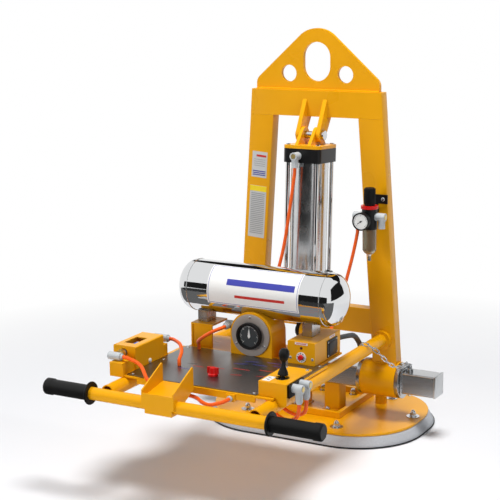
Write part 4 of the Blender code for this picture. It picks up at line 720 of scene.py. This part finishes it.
# Hand lever valve
# A folded bracket carries the black lever valve, with a ribbed gaiter under its lever. Its two grey
# elbows point down beside the arm, and a plain label marks the lever's two ways.
finish_node("lever_bracket", yellow, 0.7)
VALVE_SIDE, BRACKET_TOP = 210.6, 147.0
valve = finish_node("lever_valve", black_anodised, 0.4)
paint_faces(valve, fitting_grey, lambda x, y, z: x > VALVE_SIDE)
finish_node("lever_handle", grip_rubber, 0.4)
elbow_plugs("lever_elbow_plugs", 5.4, 0.9, "hanger", *[((232.1, y, 134.7), (1, 0, 0)) for y in (-541, -509)])
# The gaiter's lowest ring, open in the middle so that the lever swings clear of it.
shape = bmesh.new()
add_round(shape, (178, -525, BRACKET_TOP), (0, 0, 1), 14.4, 1.3, 28, 13.0)
bmesh.ops.delete(shape, geom=[f for f in shape.faces if len(f.verts) > 4], context="FACES")
bmesh.ops.solidify(shape, geom=shape.faces[:], thickness=0.0008)
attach(show("lever_gaiter", shape, black_rubber, 60), "hanger")
put("lever_label", white_vinyl, "hanger", ((156, -541, BRACKET_TOP + 0.15), (17, 30, 0.3)))
marks = ((-3, 8, 6, 2), (2, 3, 8, 1.2), (-2, -3, 8, 1.2), (3, -8, 5, 2.4))
put("lever_label_marks", black_vinyl, "hanger",
    *[((156 + u, -541 + v, BRACKET_TOP + 0.35), (width, depth, 0.2)) for u, v, width, depth in marks])
screw_heads("bracket_screws", 3.8, 0.5, "z", *[(x, -456, BRACKET_TOP + 0.1) for x in (151, 199)])


# Vacuum gauge
# A bent housing stands on the tray. Its gauge has a grey anodised flange with three screws, a black rim
# and a sunk dial with pale marks.
GAUGE_Z, HOUSING_LEFT = 165.0, -51.6
housing = finish_node("gauge_housing", yellow, 0.8)
paint_faces(housing, fitting_grey, lambda x, y, z: x < HOUSING_LEFT)
gauge = finish_node("vacuum_gauge", black_anodised, 0.4)
# Enamelled dial: a soft blue-black, matt under its glass.
dial_black = vinyl("dial black", "3B4144", 0.4)
paint_faces(gauge, dial_black, lambda x, y, z: math.hypot(x, z - GAUGE_Z) < 25 and -341 < y < -339)
# The needle is fine, and full width only at its hub.
NEEDLE_HUB, FINE = 2.5, 0.3
needle = finish_node("gauge_needle", white_vinyl, 0.0)
for corner in needle.data.vertices:
    corner.co.x *= FINE if abs((corner.co - tilt_axis).z * 1000 - GAUGE_Z) > NEEDLE_HUB else 1.0


def add_dial_marks(shape, centre, count, long, short):
    """Marks over three quarters of a dial, every fifth one long. Each kind is how far its middle lies from
    the dial's, then its length, depth and width, in millimetres."""
    x, y, z = centre
    for i in range(count):
        angle = math.radians(225 - 270 * i / (count - 1))
        reach, *size = short if i % 5 else long
        add_plate(shape, (x + reach * math.cos(angle), y, z + reach * math.sin(angle)), size,
                  Matrix.Rotation(-angle, 4, "Y"))


# Grey anodised flange: warm mid grey, fine and matt.
grey_anodised = moulded("grey anodised flange", "98908A", 0.42, 1200.0, 0.04, shine=0.4)
turned_ring("gauge_flange", grey_anodised, 29.0, 46.5, -336.0, -332.2, 0.5, (0, GAUGE_Z))
turned_ring("gauge_rim", black_anodised, 24.6, 29.4, -346.6, -335.6, 0.9, (0, GAUGE_Z))
shape = bmesh.new()
add_dial_marks(shape, (0, -340.5, GAUGE_Z), 31, (20.4, 4.4, 0.12, 1.1), (21.4, 2.4, 0.12, 0.6))
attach(show("gauge_marks", shape, white_vinyl), "hanger")
FLANGE_FACE, SCREW_CIRCLE = -335.9, 40.0
screw_heads("gauge_flange_screws", 3.4, 0.5, "y",
            *[(SCREW_CIRCLE * math.cos(angle), FLANGE_FACE, GAUGE_Z + SCREW_CIRCLE * math.sin(angle))
              for angle in map(math.radians, (90, 212, 328))])
elbow_plugs("gauge_elbow_plug", 5.4, 0.9, "hanger", ((-71.1, -314, 178), (-1, 0, 0)))


# Control box
# A folded box beside the gauge, with the alarm's red button in a white ring, its lamp and a covered socket.
# Its labels are plain.
BUTTON_X, BUTTON_Z, RING_RADIUS = 127, 134, 8.7
BOX_FRONT, BOX_SIDE = -341.2, 159.2
box = finish_node("control_box", yellow, 0.8)
paint_faces(box, white_nylon, lambda x, y, z: y < BOX_FRONT - 0.4)
finish_node("alarm_button", red_plastic, 0.8)
put("box_front_label", white_vinyl, "hanger", ((BUTTON_X, BOX_FRONT, 163.6), (30, 0.3, 6.0)))
put("box_front_label_line", red_vinyl, "hanger", ((BUTTON_X, BOX_FRONT - 0.2, 163.6), (24, 0.3, 1.6)),
    *[((BUTTON_X, BOX_FRONT - 0.2, z), (30, 0.2, 0.5)) for z in (166.2, 161.0)])
put("box_side_label", white_vinyl, "hanger", ((BOX_SIDE, -256, 164), (0.3, 26, 5.2)))
put("box_side_label_line", red_vinyl, "hanger", ((BOX_SIDE + 0.2, -256, 164), (0.3, 20, 1.4)))
shape = bmesh.new()
for i in range(9):
    angle = math.radians(60 + 37.5 * i)
    add_plate(shape, (BUTTON_X + RING_RADIUS * math.cos(angle), -343.1,
                      BUTTON_Z + RING_RADIUS * math.sin(angle)), (1.8, 0.3, 1.8))
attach(show("button_ring_marks", shape, black_vinyl), "hanger")
screw_heads("box_screws", 3.4, 0.5, "y", (101, BOX_FRONT, 131), (153, BOX_FRONT, 132))
# A small acrylic lens: dark red until it is lit, and glossy.
lamp_red = moulded("dark red lamp lens", "4A1210", 0.2, 500.0, 0.0)
shape = bmesh.new()
add_round(shape, (BUTTON_X, -341, 154), (0, -1, 0), 3.0, 1.2, 20)
add_dome(shape, (BUTTON_X, -342.2, 154), 2.2, 0.8, "y")
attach(show("alarm_lamp", shape, lamp_red, 30), "hanger")
# Glass-filled nylon: black, with a low, slightly grainy shine.
black_nylon = moulded("black socket cover", "171717", 0.45, 700.0, 0.1, shine=0.4)
shape = bmesh.new()
add_plate(shape, (160.0, -257.5, 140), (1.8, 50, 38), None, 0.6)
add_plate(shape, (161.2, -257.5, 140), (1.6, 36, 26), None, 0.6)
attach(show("socket_cover", shape, black_nylon), "hanger")
screw_heads("socket_screws", 2.0, 0.5, "x", *[(160.9, y, z) for y in (-279, -236) for z in (125, 155)])


# Air tank
# The polished tank has a rolled shell and two domed ends, seamed together. It rests on two bent steel feet,
# and wears one plain label: white, with a thin blue border and two plain bands.
finish_node("air_tank", chrome, 0.0, 60)
for node in ("left_tank_foot", "right_tank_foot"):
    finish_node(node, turned_steel, 0.8)
finish_node("tank_stand", yellow, 0.7)
TANK_Y, TANK_Z, TANK_RADIUS = -274.0, 250.0, 58.0


def on_tank(x, angle, radius):
    """A place round the tank, in metres: 0 degrees faces the operator and 90 is its top."""
    angle = math.radians(angle)
    return place(x, TANK_Y - radius * math.cos(angle), TANK_Z + radius * math.sin(angle))


def round_tank(name, finish, proud, *strips):
    """Strips bent round the tank. Each runs from x0 to x1, and from one angle in degrees up to another.
    0 faces the operator, and proud is how far they stand off the shell."""
    shape = bmesh.new()
    for x0, x1, low, high in strips:
        ends = [shape.verts.new(on_tank(x, low, TANK_RADIUS + proud)) for x in (x0, x1)]
        bmesh.ops.spin(shape, geom=[*ends, shape.edges.new(ends)], cent=place(0, TANK_Y, TANK_Z),
                       axis=(1, 0, 0), angle=-math.radians(high - low),
                       steps=max(1, round((high - low) / 4)), use_duplicate=False)
    bmesh.ops.recalc_face_normals(shape, faces=shape.faces)
    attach(show(name, shape, finish, 60), "hanger")


round_tank("tank_label", white_vinyl, 0.25, (-110, 115, -25, 68))
round_tank("tank_label_border", blue_vinyl, 0.40, (-107, 112, 64.6, 65.6), (-107, 112, -22.6, -21.6),
           (-107, -106, -22.6, 65.6), (111, 112, -22.6, 65.6))
round_tank("tank_label_band", blue_vinyl, 0.40, (-62, 104, 20, 34))
round_tank("tank_label_line", red_vinyl, 0.40, (-40, 82, -6, 0))
TANK_SEAM_X = 163.0
for side, word in SIDES:
    ring = [on_tank(side * TANK_SEAM_X, 7.5 * i, TANK_RADIUS + 0.2) for i in range(48)]
    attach(tube_along("tank_seam_" + word, ring, 0.9, chrome, closed=True), "hanger")


# Filter and regulator
# A small moulded unit on the right leg: ribbed black knob, red lock ring, black body, white-faced gauge
# and a smoked bowl with a steel drain.
# Smoked polycarbonate: clear, brown-grey and glossy, with the faint haze of an oily film inside.
smoked, tree, output = new_material("smoked polycarbonate")
spot = add(tree, "ShaderNodeTexCoord").outputs["Object"]
film = add(tree, "ShaderNodeTexNoise", {"Vector": spot, "Scale": 60.0, "Detail": 3.0}).outputs["Fac"]
haze = add(tree, "ShaderNodeMapRange", {"Value": film, "From Min": 0.3, "From Max": 0.7,
                                        "To Min": 0.08, "To Max": 0.18}).outputs["Result"]
shader = add(tree, "ShaderNodeBsdfPrincipled",
             {"Base Color": linear("B3AC98"), "Roughness": haze, "Transmission Weight": 0.85, "IOR": 1.45})
tree.links.new(shader.outputs[0], output.inputs["Surface"])
REGULATOR_X, REGULATOR_Y, DIAL_X, DIAL_Z = 160, -63, 154, 388
regulator = finish_node("regulator_body", black_anodised, 0.5)
# The lock ring is the body's top, and the elbows stand out at its two sides.
paint_faces(regulator, red_plastic, lambda x, y, z: z > 413.2 and -84 < y < -30)
paint_faces(regulator, fitting_grey,
            lambda x, y, z: abs(x - REGULATOR_X) > 19 and z < 408 and -80 < y < -45)
finish_node("regulator_knob", grip_rubber, 0.6)
finish_node("regulator_bowl", smoked, 0.3)
shape = bmesh.new()
for i in range(20):
    angle = math.radians(18 * i)
    add_plate(shape, (REGULATOR_X + 12.6 * math.cos(angle), REGULATOR_Y + 12.6 * math.sin(angle), 441),
              (1.4, 1.9, 34), Matrix.Rotation(angle, 4, "Z"), 0.4)
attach(show("knob_ribs", shape, grip_rubber), "pressure")
elbow_plugs("regulator_plugs", 5.4, 0.9, "hanger", ((121.4, REGULATOR_Y, 395), (-1, 0, 0)),
            ((198.6, REGULATOR_Y, 395), (1, 0, 0)))
shape = bmesh.new()
add_dome(shape, (173, -18.6, 427.5), 4.8, 0.45, "y")
add_round(shape, (REGULATOR_X, REGULATOR_Y, 309), (0, 0, -1), 7.0, 7, 20, 3.2)
add_round(shape, (REGULATOR_X, REGULATOR_Y, 302), (0, 0, -1), 2.4, 9.5, 16, 1.8)
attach(show("regulator_fixings", shape, zinc, 30), "hanger")
shape = bmesh.new()
add_round(shape, (DIAL_X, -98.5, DIAL_Z), (0, -1, 0), 17.6, 0.4, 40)
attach(show("small_gauge_dial", shape, white_vinyl, 30), "hanger")
turned_ring("small_gauge_rim", black_anodised, 17.2, 20.4, -100.4, -96.0, 0.7, (DIAL_X, DIAL_Z))
shape = bmesh.new()
add_dial_marks(shape, (DIAL_X, -99.0, DIAL_Z), 21, (14.2, 3.6, 0.14, 0.7), (15.0, 1.8, 0.14, 0.7))
add_plate(shape, (152, -99.3, 386.4), (15, 0.3, 1.3), rotation(-35, "Y"))
add_round(shape, (DIAL_X, -98.9, DIAL_Z), (0, -1, 0), 2.0, 0.9, 16)
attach(show("small_gauge_marks", shape, black_vinyl), "hanger")


# Hoses
# Orange polyurethane hose, 8 mm outside, joins the valves, gauge, regulator and control box. It is cut to
# length, pushed into grey collars and keeps the wide bows it was cut to.
def bow(route, steps=8):
    """Points in metres along the smooth line through a route in metres, straight at its two ends."""
    spots = [tilt_axis + Vector(spot) for spot in route]
    line = [spots[0]]
    for a, b, c, d in zip(spots, spots[1:], spots[2:], spots[3:]):
        for i in range(steps):
            t = i / steps
            line.append(0.5 * (2 * b + (c - a) * t + (2 * a - 5 * b + 4 * c - d) * t * t
                               + (3 * b - a - 3 * c + d) * t * t * t))
    return line + [spots[-2], spots[-1]]


# Extruded polyurethane: bright orange, smooth and a little waxy.
orange_hose = moulded("orange polyurethane", "F0601A", 0.30, 200.0, 0.02, 0.0, 0.4)
HOSE_RADIUS = 4.0
PANEL_HOLE_Z = 0.1192      # where a hose drops through a plain hole in the panel
hoses = {
    "regulator_hose": [(0.1305, -0.063, 0.3687), (0.1305, -0.063, 0.3567), (0.122, -0.072, 0.300),
                       (0.109, -0.095, 0.220), (0.104, -0.125, 0.170), (0.113, -0.168, 0.149),
                       (0.127, -0.2027, 0.146), (0.127, -0.2147, 0.146)],
    "slide_front_hose": [(-0.1847, -0.560, 0.152), (-0.1727, -0.560, 0.152), (-0.137, -0.562, 0.141),
                         (-0.108, -0.580, 0.119), (-0.088, -0.5795, 0.099), (-0.050, -0.566, 0.094),
                         (-0.005, -0.566, 0.093), (0.030, -0.592, 0.094), (0.056, -0.607, 0.097),
                         (0.077, -0.602, 0.102), (0.085, -0.5873, 0.1045), (0.085, -0.5753, 0.1045)],
    "slide_rear_hose": [(-0.1727, -0.396, 0.152), (-0.1607, -0.396, 0.152), (-0.132, -0.414, 0.150),
                        (-0.112, -0.438, 0.142), (-0.101, -0.466, 0.1312), (-0.101, -0.466, PANEL_HOLE_Z)],
    "lever_hose_front": [(0.223, -0.541, 0.1084), (0.223, -0.541, 0.0964), (0.215, -0.535, 0.074),
                         (0.190, -0.526, 0.060), (0.158, -0.516, 0.066), (0.138, -0.511, 0.084),
                         (0.133, -0.509, 0.0997), (0.133, -0.509, 0.1117)],
    "lever_hose_back": [(0.223, -0.509, 0.1084), (0.223, -0.509, 0.0964), (0.215, -0.503, 0.074),
                        (0.190, -0.494, 0.063), (0.158, -0.484, 0.069), (0.138, -0.479, 0.084),
                        (0.133, -0.477, 0.0997), (0.133, -0.477, 0.1117)],
    "gauge_hose": [(-0.062, -0.3343, 0.178), (-0.062, -0.3463, 0.178), (-0.078, -0.360, 0.171),
                   (-0.104, -0.360, 0.155), (-0.124, -0.348, 0.140), (-0.128, -0.340, 0.1312),
                   (-0.128, -0.340, PANEL_HOLE_Z)],
}
for node, route in hoses.items():
    line = bow(route)
    hose = tube_along(node + "_run", line, HOSE_RADIUS, orange_hose)
    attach(hose, "hanger")
    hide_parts(node)

shape = bmesh.new()
for route in hoses.values():
    for mouth, ahead in ((route[0], route[1]), (route[-1], route[-2])):
        if mouth[2] == PANEL_HOLE_Z:
            continue
        run = Vector(ahead) - Vector(mouth)
        spot = Vector(mouth) * 1000
        add_round(shape, spot, run, 6.2, 3.0, 24)
        add_round(shape, spot + run.normalized() * 3.0, run, 5.3, 1.6, 24, 4.9)
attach(show("push_in_collars", shape, fitting_grey, 30), "hanger")


# Hoses that cross a joint
# The cylinder's orange hose is pushed into its head cap's elbow. The ribbed grey vacuum hose is pushed over
# the ports of the control box and the pad.
# Corrugated PVC: dark grey with a dull gloss on each rib.
grey_conduit = moulded("grey corrugated conduit", "4A4B4D", 0.40, 700.0, 0.08, shine=0.4)


def as_mesh(piece):
    """The curve as a mesh of the same name, shaded smooth."""
    bpy.context.view_layer.update()
    mesh = bpy.data.meshes.new_from_object(piece.evaluated_get(bpy.context.evaluated_depsgraph_get()))
    name, finish = piece.name, piece.data.materials[0]
    bpy.data.objects.remove(piece)
    mesh.name = name
    if not mesh.materials:
        mesh.materials.append(finish)
    mesh.shade_smooth()
    mesh.set_sharp_from_angle(angle=math.radians(60))
    return new_object(name, mesh)


nozzle, below = hung(-8, -61, -72.6), hung(-8, -61, -84.6)
cylinder_route = [tuple(v / 1000 for v in nozzle), tuple(v / 1000 for v in below), (-0.018, -0.112, 0.400),
                  (-0.030, -0.122, 0.310), (-0.046, -0.148, 0.215), (-0.057, -0.175, 0.150),
                  (-0.060, -0.2007, 0.127), (-0.060, -0.2127, 0.127)]
line = bow(cylinder_route)
hose = as_mesh(tube_along("cylinder_hose_run", line, HOSE_RADIUS, orange_hose))
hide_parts("cylinder_hose")
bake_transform(hose)

vacuum_route = [(0.146, -0.2147, 0.144), (0.146, -0.2027, 0.144), (0.155, -0.170, 0.142),
                (0.156, -0.136, 0.134), (0.150, -0.096, 0.108), (0.136, -0.050, 0.076),
                (0.130, 0.0, 0.066), (0.128, 0.050, 0.042), (0.128, 0.080, -0.012),
                (0.128, 0.085, -0.0507), (0.128, 0.085, -0.0627)]
line = bow(vacuum_route, 16)


def evenly(line, step):
    """Points along a line, a step apart in metres, from its first point to its last."""
    points, walked = [line[0]], 0.0
    for a, b in zip(line, line[1:]):
        piece = (b - a).length
        while len(points) * step <= walked + piece:
            points.append(a.lerp(b, (len(points) * step - walked) / piece))
        walked += piece
    points[-1] = line[-1]
    return points


RIB_SPACING, CONDUIT_RADIUS, VALLEY = 0.0021, 6.0, 0.80
even = evenly(line, RIB_SPACING)
hose = as_mesh(tube_along("vacuum_hose_run", even, CONDUIT_RADIUS, grey_conduit, sides=2,
                          ribs=[1.0 if i % 2 else VALLEY for i in range(len(even))]))
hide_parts("vacuum_hose")
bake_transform(hose)


# Pin chain
# A short chain of welded oval links, zinc plated, keeps the hitch pin with the lifter. It hangs from a
# domed screw on the right arm to the pin's ring.
chain_route = [(0.173, -0.130, 0.1158), (0.183, -0.128, 0.1158), (0.204, -0.116, 0.098),
               (0.222, -0.088, 0.064), (0.233, -0.054, 0.047), (0.237, -0.026, 0.046), (0.236, -0.014, 0.050)]
line = bow(chain_route, 12)
LINK_PITCH = 0.0148
spots = evenly(line, LINK_PITCH)
curve = bpy.data.curves.new("chain_links", "CURVE")
curve.dimensions = "3D"
curve.bevel_depth = 0.0014
curve.bevel_resolution = 2
curve.materials.append(zinc)
for number, (a, b) in enumerate(zip(spots, spots[1:])):
    along = (b - a).normalized()
    side = along.cross(Vector((0, 0, 1))).normalized()
    across = side if number % 2 else along.cross(side)
    middle = ((a + b) / 2 - tilt_axis) * 1000
    spline = curve.splines.new("POLY")
    points = loop(middle, across, along, 3.5, 11.2, 6)
    spline.points.add(len(points) - 1)
    for knot, spot in zip(spline.points, points):
        knot.co = (*spot, 1.0)
    spline.use_cyclic_u = True
chain = as_mesh(new_object("chain_links", curve))
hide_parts("pin_chain")
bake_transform(chain)
shape = bmesh.new()
add_round(shape, (173, -130, 112), (0, 0, 1), 4.6, 2.2, 20)
add_dome(shape, (173, -130, 114.4), 3.4, 0.7)
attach(show("chain_screw", shape, zinc, 30), "hanger")
